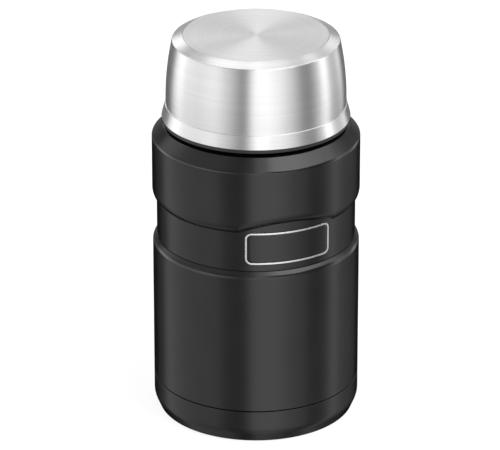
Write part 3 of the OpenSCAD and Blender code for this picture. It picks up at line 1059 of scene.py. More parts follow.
@dataclass
class Nameplate:
    """The bare plate on the grip band and the bright strip round it.

    Args:
        band_r: radius that the plate's back lies on.
        middle_h: height of its middle.
        width: width over the strip, along the band.
        height: height over the strip.
        corner: radius of its corners.
        strip_w: width of the strip.
        strip_round: rounding of the strip's edges.
        plate_t: thickness of the plate.
        strip_lift: how far the strip stands over the plate.
        gap: gap between plate and strip.
    """

    band_r: float = 49.85
    middle_h: float = 105.75
    width: float = 45.0
    height: float = 16.8
    corner: float = 3.2
    strip_w: float = 0.9
    strip_round: float = 0.14
    plate_t: float = 0.35
    strip_lift: float = 0.15
    gap: float = 0.1

    def path(self, inset: float) -> np.ndarray:
        """A rectangle with round corners, moved inwards.

        Each corner's arc is (cx + q cos a, cy + q sin a) with q the corner radius less the
        inset, and each side has points at equal shares between two arcs.

        Args:
            inset: distance inwards.

        Returns:
            Points (across, up), the same number for every inset.
        """
        q = max(self.corner - inset, 0.05)
        cx, cy = self.width / 2 - inset - q, self.height / 2 - inset - q
        arcs = []
        for k, (sx, sy) in enumerate([(1, 1), (-1, 1), (-1, -1), (1, -1)]):
            a = np.radians(np.linspace(0, 90, 10)) + k * math.pi / 2
            arcs.append(np.stack([sx * cx + q * np.cos(a), sy * cy + q * np.sin(a)], axis=-1))
        shares = [np.linspace(0, 1, n + 1)[1:-1, None] for n in (30, 12, 30, 12)]
        sides = [a[-1] + s * (b[0] - a[-1]) for a, b, s in zip(arcs, arcs[1:] + arcs[:1], shares)]
        return np.concatenate([p for pair in zip(arcs, sides) for p in pair])

    def wrapped(self, flat: np.ndarray, lift: np.ndarray) -> np.ndarray:
        """Flat points bent round the band, where the angle a is across / radius.

        A point becomes (r sin a, -r cos a, middle + up), with r the band's radius plus the lift.

        Args:
            flat: points (across, up).
            lift: how far each stands out.

        Returns:
            The bent points.
        """
        a = flat[..., 0] / self.band_r
        r = self.band_r + lift
        return np.stack([r * np.sin(a), -r * np.cos(a), self.middle_h + flat[..., 1]], axis=-1)

    def strip_patch(self) -> Patch:
        """A low, round-edged section carried round the rectangle.

        Returns:
            The strip.
        """
        top, w, e = self.plate_t + self.strip_lift, self.strip_w, self.strip_round
        corners = [Corner(0, 0), Corner(0, top, e), Corner(w, top, e), Corner(w, 0)]
        section = outline(corners, closed=True, step=0.3, hold=0.04)
        flat = np.stack([self.path(float(p)) for p in section[:, 0]])
        return Patch(self.wrapped(flat, section[:, 1:]), closed_rows=True)

    def plate_patch(self) -> Patch:
        """The plate: its outline scaled from 0 to 1 along the back, up the edge, and back to 0 in front.

        Returns:
            The plate.
        """
        t, rim = self.plate_t, self.path(self.strip_w + self.gap)
        back = [(s, 0.0) for s in np.linspace(0, 1, 4)]
        front = [(s, t) for s in np.linspace(0.996, 0, 14)]
        rows = np.array(back + [(1.0, t - 0.06), (0.9985, t - 0.015)] + front)
        return Patch(self.wrapped(rows[:, :1, None] * rim[None], rows[:, 1:]))

    def build(self, finishes: Finishes) -> None:
        """Adds the plate and its strip.

        Args:
            finishes: every finish of the jar.
        """
        plate = patch_mesh("nameplate_bare", [self.plate_patch()], 50.0)
        add_piece("nameplate_bare", plate, Body.JAR, "nameplate", finishes.plate)
        strip = patch_mesh("nameplate_strip", [self.strip_patch()], 50.0)
        add_piece("nameplate_strip", strip, Body.JAR, "nameplate_border", finishes.trim)


@dataclass
class Liner:
    """The steel liner with its mouth thread, the gasket's seat and its rounded bottom.

    Args:
        inner_r: radius of the food space.
        wall: thickness of the sheet.
        mouth_r: radius of the mouth's bore.
        crest_r: radius of the thread's crests in it.
        thread_h: height at which the thread starts.
        mouth_h: height of the mouth's edge.
        neck_r: radius to which the edge is rolled over.
        seat_r: radius at the foot of the gasket's seat.
        seat_h: height of that foot.
        seat_rise: height of the conical seat.
        close_h: height at which the shoulder ends.
        shoulder_h: height at which it starts.
        weld_h: height of the weld to the bottom.
        bottom_h: height of the bottom's underside.
        corner: rounding between bottom and side.
        drawn_r: radius of the step drawn in the bottom.
        drawn_h: height of that step.
    """

    inner_r: float = 42.0
    wall: float = 0.5
    mouth_r: float = 36.5
    crest_r: float = 35.45
    thread_h: float = 158.7
    mouth_h: float = 168.0
    neck_r: float = 39.1
    seat_r: float = 33.3
    seat_h: float = 151.0
    seat_rise: float = 3.5
    close_h: float = 149.8
    shoulder_h: float = 137.0
    weld_h: float = 30.0
    bottom_h: float = 16.0
    corner: float = 9.0
    drawn_r: float = 29.0
    drawn_h: float = 0.15

    def liner_patches(self) -> list[Patch]:
        """The liner's turned wall, rolled over the neck's edge, and the thread inside the mouth.

        Returns:
            The wall and the thread.
        """
        w, out = self.wall, self.mouth_r + self.wall
        corners = [
            Corner(self.inner_r, self.weld_h, 0.1),
            Corner(self.inner_r, self.shoulder_h, 5.0),
            Corner(self.seat_r, self.close_h, 0.8),
            Corner(self.seat_r, self.seat_h, 0.4),
            Corner(self.mouth_r, self.seat_h + self.seat_rise, 0.6),
            Corner(self.mouth_r, self.mouth_h, 0.45),
            Corner(self.neck_r, self.mouth_h, 0.24),
            Corner(self.neck_r, self.mouth_h - w),
            Corner(out, self.mouth_h - w),
            Corner(out, self.close_h - 3.0),
            Corner(self.inner_r + w, self.shoulder_h + 0.5),
            Corner(self.inner_r + w, self.weld_h),
        ]
        wall = turned(outline(corners, closed=True, step=5.0), closed=True)
        return [wall] + Thread(self.mouth_r, self.crest_r, self.thread_h).patches()

    def bottom_patches(self) -> list[Patch]:
        """The liner's bottom, turned: a flat with one drawn step, a round corner and the weld's edge.

        Returns:
            The bottom.
        """
        w, q, top = self.wall, self.corner, self.weld_h - 0.05
        out = self.inner_r + w
        z = self.bottom_h
        corners = [
            Corner(0.0, z),
            Corner(out, z, q),
            Corner(out, top, 0.1),
            Corner(out - w, top, 0.1),
            Corner(out - w, z + w, q - w),
            Corner(self.drawn_r, z + w, 0.5),
            Corner(self.drawn_r - 0.6, z + w - self.drawn_h, 0.5),
            Corner(0.0, z + w - self.drawn_h),
        ]
        return [turned(outline(corners, step=5.0))]

    def build(self, finishes: Finishes) -> None:
        """Adds the liner and its bottom.

        Args:
            finishes: every finish of the jar.
        """
        wall = patch_mesh("liner_wall_steel", self.liner_patches(), 40.0)
        add_piece("liner_wall_steel", wall, Body.JAR, "inner_liner", finishes.liner_steel)
        bottom = patch_mesh("liner_bottom_steel", self.bottom_patches(), 40.0)
        add_piece("liner_bottom_steel", bottom, Body.JAR, "liner_bottom", finishes.liner_steel)


@dataclass
class Stopper:
    """The stopper: a scalloped cap, a threaded tube, a base that holds the gasket, and the gasket.

    Args:
        tube_r: radius of the tube.
        crest_r: radius of its thread's crests.
        thread_h: height at which the thread starts.
        wall: thickness of the tube and the base's post.
        tube_bottom: height of the tube's lower end.
        tube_top: height of its upper end.
        foot_r: radius of the base's flange under the gasket.
        foot_bottom: height of its underside.
        foot_top: height of its upper face.
        dish_r: radius of the shallow dish in the underside.
        dish_h: depth of that dish.
        post_r: radius of the post through the gasket.
        spigot_h: how far the post goes up into the tube.
        gasket_in_r: radius of the gasket's bore.
        gasket_out_r: radius of its ring.
        gasket_top: height of its upper face.
        seat_r: radius at the foot of the liner's seat.
        seat_h: height of that foot.
        seat_slope: rise of the seat for each millimetre outwards.
        seat_gap: gap between seat and gasket.
    """

    tube_r: float = 35.0
    crest_r: float = 36.15
    thread_h: float = 156.7
    wall: float = 1.8
    tube_bottom: float = 155.3
    tube_top: float = 168.3
    foot_r: float = 32.8
    foot_bottom: float = 149.6
    foot_top: float = 151.2
    dish_r: float = 24.0
    dish_h: float = 0.7
    post_r: float = 30.95
    spigot_h: float = 2.6
    gasket_in_r: float = 31.3
    gasket_out_r: float = 35.1
    gasket_top: float = 155.0
    seat_r: float = 33.3
    seat_h: float = 151.0
    seat_slope: float = 3.5 / 3.2
    seat_gap: float = 0.3

    def tube_patches(self) -> list[Patch]:
        """The turned tube with its thread.

        Returns:
            The tube and the thread.
        """
        line = outline(
            [
                Corner(self.tube_r - self.wall, self.tube_bottom, 0.1),
                Corner(self.tube_r, self.tube_bottom, 0.5),
                Corner(self.tube_r, self.tube_top),
                Corner(self.tube_r - self.wall, self.tube_top),
            ],
            closed=True,
        )
        return [turned(line, closed=True)] + Thread(self.tube_r, self.crest_r, self.thread_h).patches()

    def base_patches(self) -> list[Patch]:
        """The turned base: a shallow dish underneath, a flange under the gasket and a post through it.

        Returns:
            The base.
        """
        inner = self.post_r - self.wall
        spigot_r, spigot_top = self.tube_r - self.wall - 0.1, self.tube_bottom + self.spigot_h
        line = outline(
            [
                Corner(0.0, self.foot_bottom + self.dish_h),
                Corner(self.dish_r, self.foot_bottom + self.dish_h, 1.2),
                Corner(self.dish_r + 1.2, self.foot_bottom, 1.2),
                Corner(self.foot_r, self.foot_bottom, 0.7),
                Corner(self.foot_r, self.foot_top, 0.2),
                Corner(self.post_r, self.foot_top, 0.1),
                Corner(self.post_r, self.tube_bottom, 0.1),
                Corner(spigot_r, self.tube_bottom, 0.2),
                Corner(spigot_r, spigot_top, 0.2),
                Corner(inner, spigot_top, 0.2),
                Corner(inner, self.foot_top),
                Corner(0.0, self.foot_top),
            ]
        )
        return [turned(line)]

    def gasket_patches(self) -> list[Patch]:
        """The turned gasket: a cone that follows the seat under a soft, round-edged ring with a groove.

        Measured upwards, the cone's gap to the seat is seat_gap * sqrt(1 + slope * slope).

        Returns:
            The gasket.
        """
        rise = self.seat_gap * math.sqrt(1 + self.seat_slope**2)
        low = self.seat_h + rise
        cone_top = low + (self.gasket_out_r - self.seat_r) * self.seat_slope
        line = outline(
            [
                Corner(self.gasket_in_r, low, 0.3),
                Corner(self.seat_r, low, 0.3),
                Corner(self.gasket_out_r, cone_top, 0.4),
                Corner(self.gasket_out_r, self.gasket_top - 0.9, 0.25),
                Corner(self.gasket_out_r - 0.5, self.gasket_top - 0.5, 0.2),
                Corner(self.gasket_out_r - 0.5, self.gasket_top, 0.3),
                Corner(self.gasket_in_r, self.gasket_top, 0.3),
            ],
            closed=True,
            hold=0.1,
        )
        return [turned(line, closed=True)]

    def cap_mesh(self) -> bpy.types.Mesh:
        """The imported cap's shape with its loose triangles joined and shaded smooth.

        Returns:
            The mesh.
        """
        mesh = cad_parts["stopper_cap"].data.copy()
        mesh.name = "stopper_cap_moulded"
        work = bmesh.new()
        work.from_mesh(mesh)
        bmesh.ops.remove_doubles(work, verts=work.verts, dist=1e-6)
        bmesh.ops.dissolve_degenerate(work, dist=1e-7, edges=work.edges)
        work.to_mesh(mesh)
        work.free()
        shade(mesh, 32.0)
        return mesh

    def build(self, finishes: Finishes) -> None:
        """Adds the stopper's pieces.

        Args:
            finishes: every finish of the jar.
        """
        plastic, slot = finishes.plastic, "black_plastic"
        add_piece("stopper_cap_moulded", self.cap_mesh(), Body.STOPPER, "stopper_cap", plastic)
        tube = patch_mesh("stopper_tube_moulded", self.tube_patches(), 40.0)
        add_piece("stopper_tube_moulded", tube, Body.STOPPER, "stopper_body", plastic)
        base = patch_mesh("stopper_base_moulded", self.base_patches(), 40.0)
        add_piece("stopper_base_moulded", base, Body.STOPPER, "stopper_base", plastic)
        gasket = patch_mesh("stopper_gasket_soft", self.gasket_patches(), 50.0)
        ring = Body.STOPPER_RING
        add_piece("stopper_gasket_soft", gasket, ring, "stopper_gasket", finishes.silicone)


@dataclass
class Bowl:
    """The steel serving bowl that is the lid, with its disc, inner wall, collar and seal ring.

    It is built as it stands on the jar, upside down, so its rim is low and its disc is on top.

    Args:
        rim_r: radius of the rim.
        rim_h: height of the rim.
        band_top_r: radius at the top of the flared band over it.
        band_top_h: height of that band's top.
        step: how far the side stands in from the band.
        side_lean: how far the side leans in from its foot to its top.
        swell: how far it swells out halfway.
        side_top_h: height of its top edge.
        disc_r: radius of the disc.
        top_h: height of the disc's face.
        wall: thickness of the sheet.
        sleeve_r: outer radius of the collar's sleeve.
        bore_r: radius of the collar's bore.
        crest_r: radius of the crests of the thread in it.
        thread_h: height at which the thread starts.
        sleeve_top: height of the sleeve's top.
        seal_gap: gap under and over the seal ring.
        lip_r: radius of the collar's lip under the rim.
        lip_h: its height.
        throat_r: radius of the inner wall over the seal.
        seal_h: height of the seal ring.
        seal_in_r: its inner radius.
        inner_lean: how far the inner wall leans in up to the ceiling.
        inner_corner: rounding between inner wall and ceiling.
        ceiling_h: height of the ceiling, the bowl's own bottom.
    """

    rim_r: float = 47.05
    rim_h: float = 156.9
    band_top_r: float = 45.25
    band_top_h: float = 163.7
    step: float = 0.34
    side_lean: float = 3.31
    swell: float = 0.95
    side_top_h: float = 197.0
    disc_r: float = 36.2
    top_h: float = 199.2
    wall: float = 0.5
    sleeve_r: float = 42.2
    bore_r: float = 40.65
    crest_r: float = 39.45
    thread_h: float = 156.0
    sleeve_top: float = 168.0
    seal_gap: float = 0.3
    lip_r: float = 46.8
    lip_h: float = 2.0
    throat_r: float = 41.3
    seal_h: float = 2.0
    seal_in_r: float = 38.15
    inner_lean: float = 2.4
    inner_corner: float = 6.0
    ceiling_h: float = 195.3

    def side(self, inset: float, count: int = 22) -> list[Corner]:
        """The side wall's line from the step to its top edge.

        At the share t of the height the radius is low - lean * t + swell * 4 t (1 - t).

        Args:
            inset: how far it is moved inwards.
            count: number of steps.

        Returns:
            The corners in order.
        """
        t = np.linspace(0.0, 1.0, count + 1)
        r = self.band_top_r - self.step - inset - self.side_lean * t + self.swell * 4 * t * (1 - t)
        z = self.band_top_h + (self.side_top_h - inset - self.band_top_h) * t
        return [Corner(float(p), float(q)) for p, q in zip(r, z)]

    def outer_patches(self) -> list[Patch]:
        """The outer wall: a flared band, a small step, a swelling side and a sloping ring round the disc.

        Returns:
            The wall.
        """
        w = self.wall
        up, down = self.side(0.0), self.side(w)[::-1]
        up[0] = Corner(up[0].r, up[0].z, 0.12)
        up[-1] = Corner(up[-1].r, up[-1].z, 0.55)
        corners = (
            [Corner(self.rim_r, self.rim_h, 0.2), Corner(self.band_top_r, self.band_top_h, 0.16)]
            + up
            + [
                Corner(self.disc_r, self.top_h, 0.12),
                Corner(self.disc_r, self.top_h - w, 0.05),
                Corner(self.disc_r - 2, self.top_h - w),
                Corner(self.disc_r - 2, self.top_h - 2 * w),
            ]
            + down
            + [Corner(self.band_top_r - w, self.band_top_h), Corner(self.rim_r - w, self.rim_h, 0.1)]
        )
        return [turned(outline(corners, closed=True, step=3.0), columns=288, closed=True)]

    def disc_patches(self) -> list[Patch]:
        """The disc, turned, with a fine round edge.

        Returns:
            The disc.
        """
        r, low = self.disc_r - 0.1, self.top_h - self.wall
        corners = [Corner(0, self.top_h), Corner(r, self.top_h, 0.12), Corner(r, low, 0.1), Corner(0, low)]
        return [turned(outline(corners, step=4.0), columns=288)]

    def inner_patches(self) -> list[Patch]:
        """The inner wall, turned: a flange on the rim, the collar's pocket, the seal's step and the bowl.

        Returns:
            The wall.
        """
        w, q = self.wall, self.inner_corner
        in_r = self.sleeve_r + 0.1
        step_h = self.sleeve_top + self.seal_gap + self.seal_h + self.seal_gap
        floor_r = self.throat_r - self.inner_lean
        flange_r = self.rim_r - w - 0.5
        corners = [
            Corner(flange_r, self.rim_h, 0.1),
            Corner(flange_r, self.rim_h + w, 0.1),
            Corner(in_r + w, self.rim_h + w),
            Corner(in_r + w, step_h + w),
            Corner(self.throat_r + w, step_h + w),
            Corner(floor_r + w, self.ceiling_h + w, q + w),
            Corner(0.0, self.ceiling_h + w),
        ]
        back = [
            Corner(0.0, self.ceiling_h),
            Corner(floor_r, self.ceiling_h, q),
            Corner(self.throat_r, step_h, 0.3),
            Corner(in_r, step_h, 0.1),
            Corner(in_r, self.rim_h, 0.2),
            Corner(flange_r, self.rim_h),
        ]
        return [turned(outline(corners + back, step=4.0))]

    def collar_patches(self) -> list[Patch]:
        """The moulded collar: a lip under the rim, a sleeve up inside it and a thread in its bore.

        Returns:
            The collar and the thread.
        """
        low = self.rim_h - self.lip_h
        line = outline(
            [
                Corner(self.bore_r, low, 0.4),
                Corner(self.lip_r, low, 0.45),
                Corner(self.lip_r, self.rim_h, 0.3),
                Corner(self.sleeve_r, self.rim_h, 0.1),
                Corner(self.sleeve_r, self.sleeve_top, 0.2),
                Corner(self.bore_r, self.sleeve_top, 0.4),
            ],
            closed=True,
        )
        return [turned(line, closed=True)] + Thread(self.bore_r, self.crest_r, self.thread_h).patches()

    def seal_patches(self) -> list[Patch]:
        """The seal ring, turned, with soft edges and two fine beads that press on the neck's edge.

        Returns:
            The ring.
        """
        bottom = self.sleeve_top + self.seal_gap
        top, raised = bottom + self.seal_h, bottom + 0.25
        r0, r1 = self.seal_in_r, self.sleeve_r - 0.35
        beads = [
            Corner(r, bottom if k % 2 else raised, 0.2)
            for k, r in enumerate(np.linspace(r0 + 0.4, r1 - 0.4, 5))
        ]
        ends = [Corner(r1, raised, 0.2), Corner(r1, top, 0.4), Corner(r0, top, 0.4)]
        line = outline([Corner(r0, raised, 0.2)] + beads + ends, closed=True, hold=0.08)
        return [turned(line, closed=True)]

    def build(self, finishes: Finishes) -> None:
        """Adds the bowl's pieces.

        Args:
            finishes: every finish of the jar.
        """
        outer = patch_mesh("bowl_outer_brushed", self.outer_patches(), 45.0)
        add_piece("bowl_outer_brushed", outer, Body.BOWL, "bowl_outer", finishes.bowl_steel)
        disc = patch_mesh("bowl_disc_turned", self.disc_patches(), 45.0)
        add_piece("bowl_disc_turned", disc, Body.BOWL, "bowl_disc", finishes.disc_steel)
        inner = patch_mesh("bowl_inner_steel", self.inner_patches(), 45.0)
        add_piece("bowl_inner_steel", inner, Body.BOWL, "bowl_inner", finishes.liner_steel)
        collar = patch_mesh("bowl_collar_moulded", self.collar_patches(), 40.0)
        add_piece("bowl_collar_moulded", collar, Body.BOWL, "bowl_collar", finishes.plastic)
        seal = patch_mesh("bowl_seal_soft", self.seal_patches(), 50.0)
        add_piece("bowl_seal_soft", seal, Body.BOWL_RING, "bowl_seal", finishes.silicone)


@dataclass
class HiddenPieces:
    """The pieces shut inside the vacuum space and the stopper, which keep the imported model's shapes."""

    def build(self, finishes: Finishes) -> None:
        """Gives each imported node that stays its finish.

        Args:
            finishes: every finish of the jar.
        """
        kept = {
            "vacuum_bottom": finishes.plain_steel,
            "port_seal": finishes.solder,
            "getter": finishes.getter,
            "radiation_foil": finishes.foil,
            "stopper_foam": finishes.foam,
        }
        for name, material in kept.items():
            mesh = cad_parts[name].data
            mesh.materials.clear()
            mesh.materials.append(material)
            log.info("%s: packed shape, finish %s", name, material.name)


# ---------------------------------------------------------------- the studio


@dataclass(frozen=True)
class Softbox:
    """A soft lamp.

    Args:
        azimuth: where it stands, in degrees round the jar from the camera, to the right.
        height: height of its centre in metres.
        distance: distance from the axis in metres.
        width: width in metres.
        tall: height in metres.
        power: power in watts.
    """

    azimuth: float
    height: float
    distance: float
    width: float
    tall: float
    power: float


@dataclass(frozen=True)
class Panel:
    """A soft panel in one of the rings that polished and painted surfaces see.

    A dim one is a gap between the others.

    Args:
        start: azimuth of its left end, in degrees round the jar from the camera, to the right.
        end: azimuth of its right end, the same as the left one's for an upright strip.
        level: its brightness, as a share of white.
    """

    start: float
    end: float
    level: float


@dataclass(frozen=True)
class Glow:
    """A round softbox that only polished and painted surfaces see.

    Args:
        azimuth: where it stands, in degrees round the jar from the camera, to the right.
        elevation: height over the horizon in degrees.
        inner: angle from its centre to where it starts to fade.
        outer: angle from its centre to its edge.
        strength: what it adds, as a share of white.
    """

    azimuth: float
    elevation: float
    inner: float
    outer: float
    strength: float


@dataclass(frozen=True)
class Step:
    """A smooth step of a value: 3 t * t - 2 t * t * t for its share t of the way from start to end.

    Args:
        start: where the step starts.
        end: where it ends.
        low: the result up to its start.
        high: the result from its end.
    """

    start: float
    end: float
    low: float = 0.0
    high: float = 1.0


class WorldSheet:
    """The world's node tree, with short ways to add to it."""

    def __init__(self, name: str) -> None:
        """Makes the world and empties its tree.

        Args:
            name: the world's name.
        """
        world = bpy.data.worlds.new(name)
        bpy.context.scene.world = world
        world.use_nodes = True
        self.nodes = world.node_tree.nodes
        self.nodes.clear()
        self.links = world.node_tree.links
        self.way = self.nodes.new("ShaderNodeTexCoord").outputs["Generated"]
        self.path = self.nodes.new("ShaderNodeLightPath")

    def maths(
        self, operation: str, a: bpy.types.NodeSocket | float, b: bpy.types.NodeSocket | float
    ) -> bpy.types.NodeSocket:
        """One operation on two numbers or sockets.

        Args:
            operation: the operation's name.
            a: the first number.
            b: the second number.

        Returns:
            The result.
        """
        node = self.nodes.new("ShaderNodeMath")
        node.operation = operation
        for socket, value in zip(node.inputs, (a, b)):
            if isinstance(value, bpy.types.NodeSocket):
                self.links.new(value, socket)
            else:
                socket.default_value = value
        return node.outputs[0]

    def stepped(self, value: bpy.types.NodeSocket, step: Step) -> bpy.types.NodeSocket:
        """A smooth step of a value.

        Args:
            value: the value.
            step: the step.

        Returns:
            The result.
        """
        node = self.nodes.new("ShaderNodeMapRange")
        node.interpolation_type = "SMOOTHSTEP"
        node.inputs["From Min"].default_value = step.start
        node.inputs["From Max"].default_value = step.end
        node.inputs["To Min"].default_value = step.low
        node.inputs["To Max"].default_value = step.high
        self.links.new(value, node.inputs["Value"])
        return node.outputs["Result"]

    def blend(
        self, share: bpy.types.NodeSocket, first: bpy.types.NodeSocket, second: bpy.types.NodeSocket
    ) -> bpy.types.NodeSocket:
        """A share of the way from one colour to another.

        Args:
            share: the share.
            first: the colour at 0.
            second: the colour at 1.

        Returns:
            The colour.
        """
        node = self.nodes.new("ShaderNodeMix")
        node.data_type = "RGBA"
        self.links.new(share, node.inputs["Factor"])
        self.links.new(first, node.inputs["A"])
        self.links.new(second, node.inputs["B"])
        return node.outputs["Result"]

    def ring(self, turn: bpy.types.NodeSocket, panels: tuple[Panel, ...]) -> bpy.types.NodeSocket:
        """Brightness round the jar: even over each panel, and eased from one panel to the next.

        The ramp holds 32 stops: a panel takes two of them, and a strip one.

        Args:
            turn: the azimuth as a share of a turn, with the camera at 0.5.
            panels: the ring's panels, from -180 to 180 degrees.

        Returns:
            The brightness, as a grey colour.
        """
        node = self.nodes.new("ShaderNodeValToRGB")
        node.color_ramp.interpolation = "EASE"
        stops = [(end, panel.level) for panel in panels for end in sorted({panel.start, panel.end})]
        items = node.color_ramp.elements
        while len(items) < len(stops):
            items.new(0.5)
        for item, (azimuth, level) in zip(items, stops):
            item.position = azimuth / 360.0 + 0.5
            item.color = (level, level, level, 1.0)
        self.links.new(turn, node.inputs["Fac"])
        return node.outputs["Color"]

    def background(self) -> bpy.types.Node:
        """A plain white background.

        Returns:
            The node, whose colour and strength may be changed.
        """
        node = self.nodes.new("ShaderNodeBackground")
        node.inputs["Color"].default_value = WHITE
        return node

    def chosen(
        self, ray: str, otherwise: bpy.types.NodeSocket, then: bpy.types.NodeSocket
    ) -> bpy.types.NodeSocket:
        """One background for one kind of ray and another for the rest.

        Args:
            ray: the kind of ray.
            otherwise: what other rays see.
            then: what such rays see.

        Returns:
            The shader.
        """
        node = self.nodes.new("ShaderNodeMixShader")
        self.links.new(self.path.outputs[ray], node.inputs["Fac"])
        self.links.new(otherwise, node.inputs[1])
        self.links.new(then, node.inputs[2])
        return node.outputs[0]


def around(azimuth: float, distance: float, height: float) -> Vector:
    """The point (d sin a, -d cos a, height), at the azimuth a in degrees and the distance d."""
    a = math.radians(azimuth)
    return Vector((math.sin(a) * distance, -math.cos(a) * distance, height))


@dataclass
class Studio:
    """The floor, the surround, the lamps and the camera.

    Args:
        camera_azimuth: where the camera stands round the jar, in degrees from the nameplate's middle.
        camera_distance: its level distance from the axis in metres.
        camera_height: its height in metres.
        camera_pitch: how far it looks down, in degrees.
        focal_px: its focal length in pixels.
        centre_px: how far the lens's axis is moved to the right, in pixels.
        ambient: strength of the even light.
        floor_size: half of the floor's width in metres.
        floor_white: the floor's own tone.
        floor_seen: its tone to the camera, to which the glow is added.
        floor_glow: the glow that lifts it to white there.
        lamps: the soft lamps.
        floor_ring: the panels near the floor.
        wall_ring: the panels round the walls.
        high_ring: the panels over them.
        low_join: the heights between which the first ring gives way to the second.
        high_join: the heights between which the second ring gives way to the third.
        low_dim: how the rings darken below the horizon.
        floor_dim: how they darken straight down.
        glows: the round softboxes.
    """

    camera_azimuth: float = -19.7
    camera_distance: float = 1.8577
    camera_height: float = 0.9194
    camera_pitch: float = 23.89
    focal_px: float = 4039.0
    centre_px: float = 6.0
    ambient: float = 0.62
    floor_size: float = 6.0
    floor_white: float = 0.8
    floor_seen: float = 0.26
    floor_glow: float = 0.84
    lamps: tuple[Softbox, ...] = (
        Softbox(55.0, 1.5, 0.9, 0.9, 0.9, 14.0),
        Softbox(-100.0, 0.9, 1.4, 1.0, 1.0, 6.0),
    )
    floor_ring: tuple[Panel, ...] = (
        Panel(-180, -152, 0.01),
        Panel(-132, -132, 0.11),
        Panel(-112, -46, 0.73),
        Panel(-32, -17, 0.33),
        Panel(2, 18, 1.46),
        Panel(50, 50, 0.80),
        Panel(67, 78, 0.34),
        Panel(98, 98, 0.94),
        Panel(110, 110, 0.45),
        Panel(122, 122, 0.26),
        Panel(138, 138, 0.12),
        Panel(154, 180, 0.01),
    )
    wall_ring: tuple[Panel, ...] = (
        Panel(-180, -146, 0.20),
        Panel(-134, -134, 0.40),
        Panel(-124, -124, 1.60),
        Panel(-113, -113, 2.20),
        Panel(-98, -80, 1.53),
        Panel(-52, -52, 1.95),
        Panel(-36, -36, 1.45),
        Panel(-14, -14, 0.37),
        Panel(-2, -2, 1.90),
        Panel(6, 6, 1.45),
        Panel(15, 18, 1.85),
        Panel(68, 73, 0.20),
        Panel(82, 82, 0.66),
        Panel(98, 98, 2.17),
        Panel(110, 121, 0.86),
        Panel(134, 134, 1.50),
        Panel(144, 180, 0.20),
    )
    high_ring: tuple[Panel, ...] = (
        Panel(-180, -180, 1.00),
        Panel(-170, -138, 0.12),
        Panel(-126, -126, 1.05),
        Panel(-99, -63, 0.61),
        Panel(-30, -20, 0.31),
        Panel(-6, -6, 0.63),
        Panel(6, 6, 2.00),
        Panel(24, 24, 0.28),
        Panel(46, 90, 0.13),
        Panel(104, 104, 2.12),
        Panel(114, 114, 1.06),
        Panel(126, 126, 0.48),
        Panel(140, 150, 0.14),
        Panel(160, 160, 1.70),
        Panel(170, 170, 0.12),
        Panel(180, 180, 1.00),
    )
    low_join: Step = Step(-0.38, -0.22)
    high_join: Step = Step(0.04, 0.32)
    low_dim: Step = Step(-0.80, -0.45, 0.6)
    floor_dim: Step = Step(-1.0, -0.93, 0.1)
    glows: tuple[Glow, ...] = (
        Glow(49.0, 53.5, 12.5, 22.0, 3.5),
        Glow(85.5, 45.5, 3.5, 11.5, 2.6),
        Glow(115.0, 46.5, 2.0, 10.0, 3.6),
        Glow(-123.0, 41.0, 2.0, 10.0, 1.8),
        Glow(-167.0, 57.5, 3.0, 17.5, 3.1),
        Glow(-162.0, 23.5, 4.5, 13.0, 2.3),
        Glow(162.0, 28.5, 2.0, 10.0, 1.2),
    )

    def camera(self) -> None:
        """Adds the photograph's camera, with its place round the jar, its pitch, lens and small shift."""
        data = bpy.data.cameras.new("photo_camera")
        data.sensor_width = 36.0
        data.lens = self.focal_px / PHOTO_WIDTH * data.sensor_width
        data.shift_x = -self.centre_px / PHOTO_WIDTH
        data.clip_start, data.clip_end = 0.05, 30.0
        camera = bpy.data.objects.new("photo_camera", data)
        bpy.context.scene.collection.objects.link(camera)
        place = around(self.camera_azimuth, self.camera_distance, self.camera_height)
        turn = Matrix.Rotation(math.radians(self.camera_azimuth), 4, "Z")
        tilt = Matrix.Rotation(math.radians(90.0 - self.camera_pitch), 4, "X")
        camera.matrix_world = Matrix.Translation(place) @ turn @ tilt
        bpy.context.scene.camera = camera

    def floor(self) -> None:
        """Adds a plain white floor. The camera sees it lifted to white, and it keeps the jar's shadow."""
        mesh = bpy.data.meshes.new("floor")
        s = self.floor_size
        mesh.from_pydata([(-s, -s, 0), (s, -s, 0), (s, s, 0), (-s, s, 0)], [], [(0, 1, 2, 3)])
        floor = bpy.data.objects.new("floor", mesh)
        bpy.context.scene.collection.objects.link(floor)
        sheet = NodeSheet("white_floor")
        nodes, links = sheet.tree.nodes, sheet.tree.links
        path = nodes.new("ShaderNodeLightPath")
        tone = nodes.new("ShaderNodeMapRange")
        tone.inputs["To Min"].default_value = self.floor_white
        tone.inputs["To Max"].default_value = self.floor_seen
        links.new(path.outputs["Is Camera Ray"], tone.inputs["Value"])
        sheet.link(tone.outputs["Result"], "Base Color")
        glow = nodes.new("ShaderNodeMath")
        glow.operation = "MULTIPLY"
        glow.inputs[1].default_value = self.floor_glow
        links.new(path.outputs["Is Camera Ray"], glow.inputs[0])
        links.new(glow.outputs[0], sheet.shader.inputs["Emission Strength"])
        sheet.set(Emission_Color=WHITE, Specular_IOR_Level=0.0, Roughness=1.0)
        mesh.materials.append(sheet.material)
        floor.visible_glossy = False

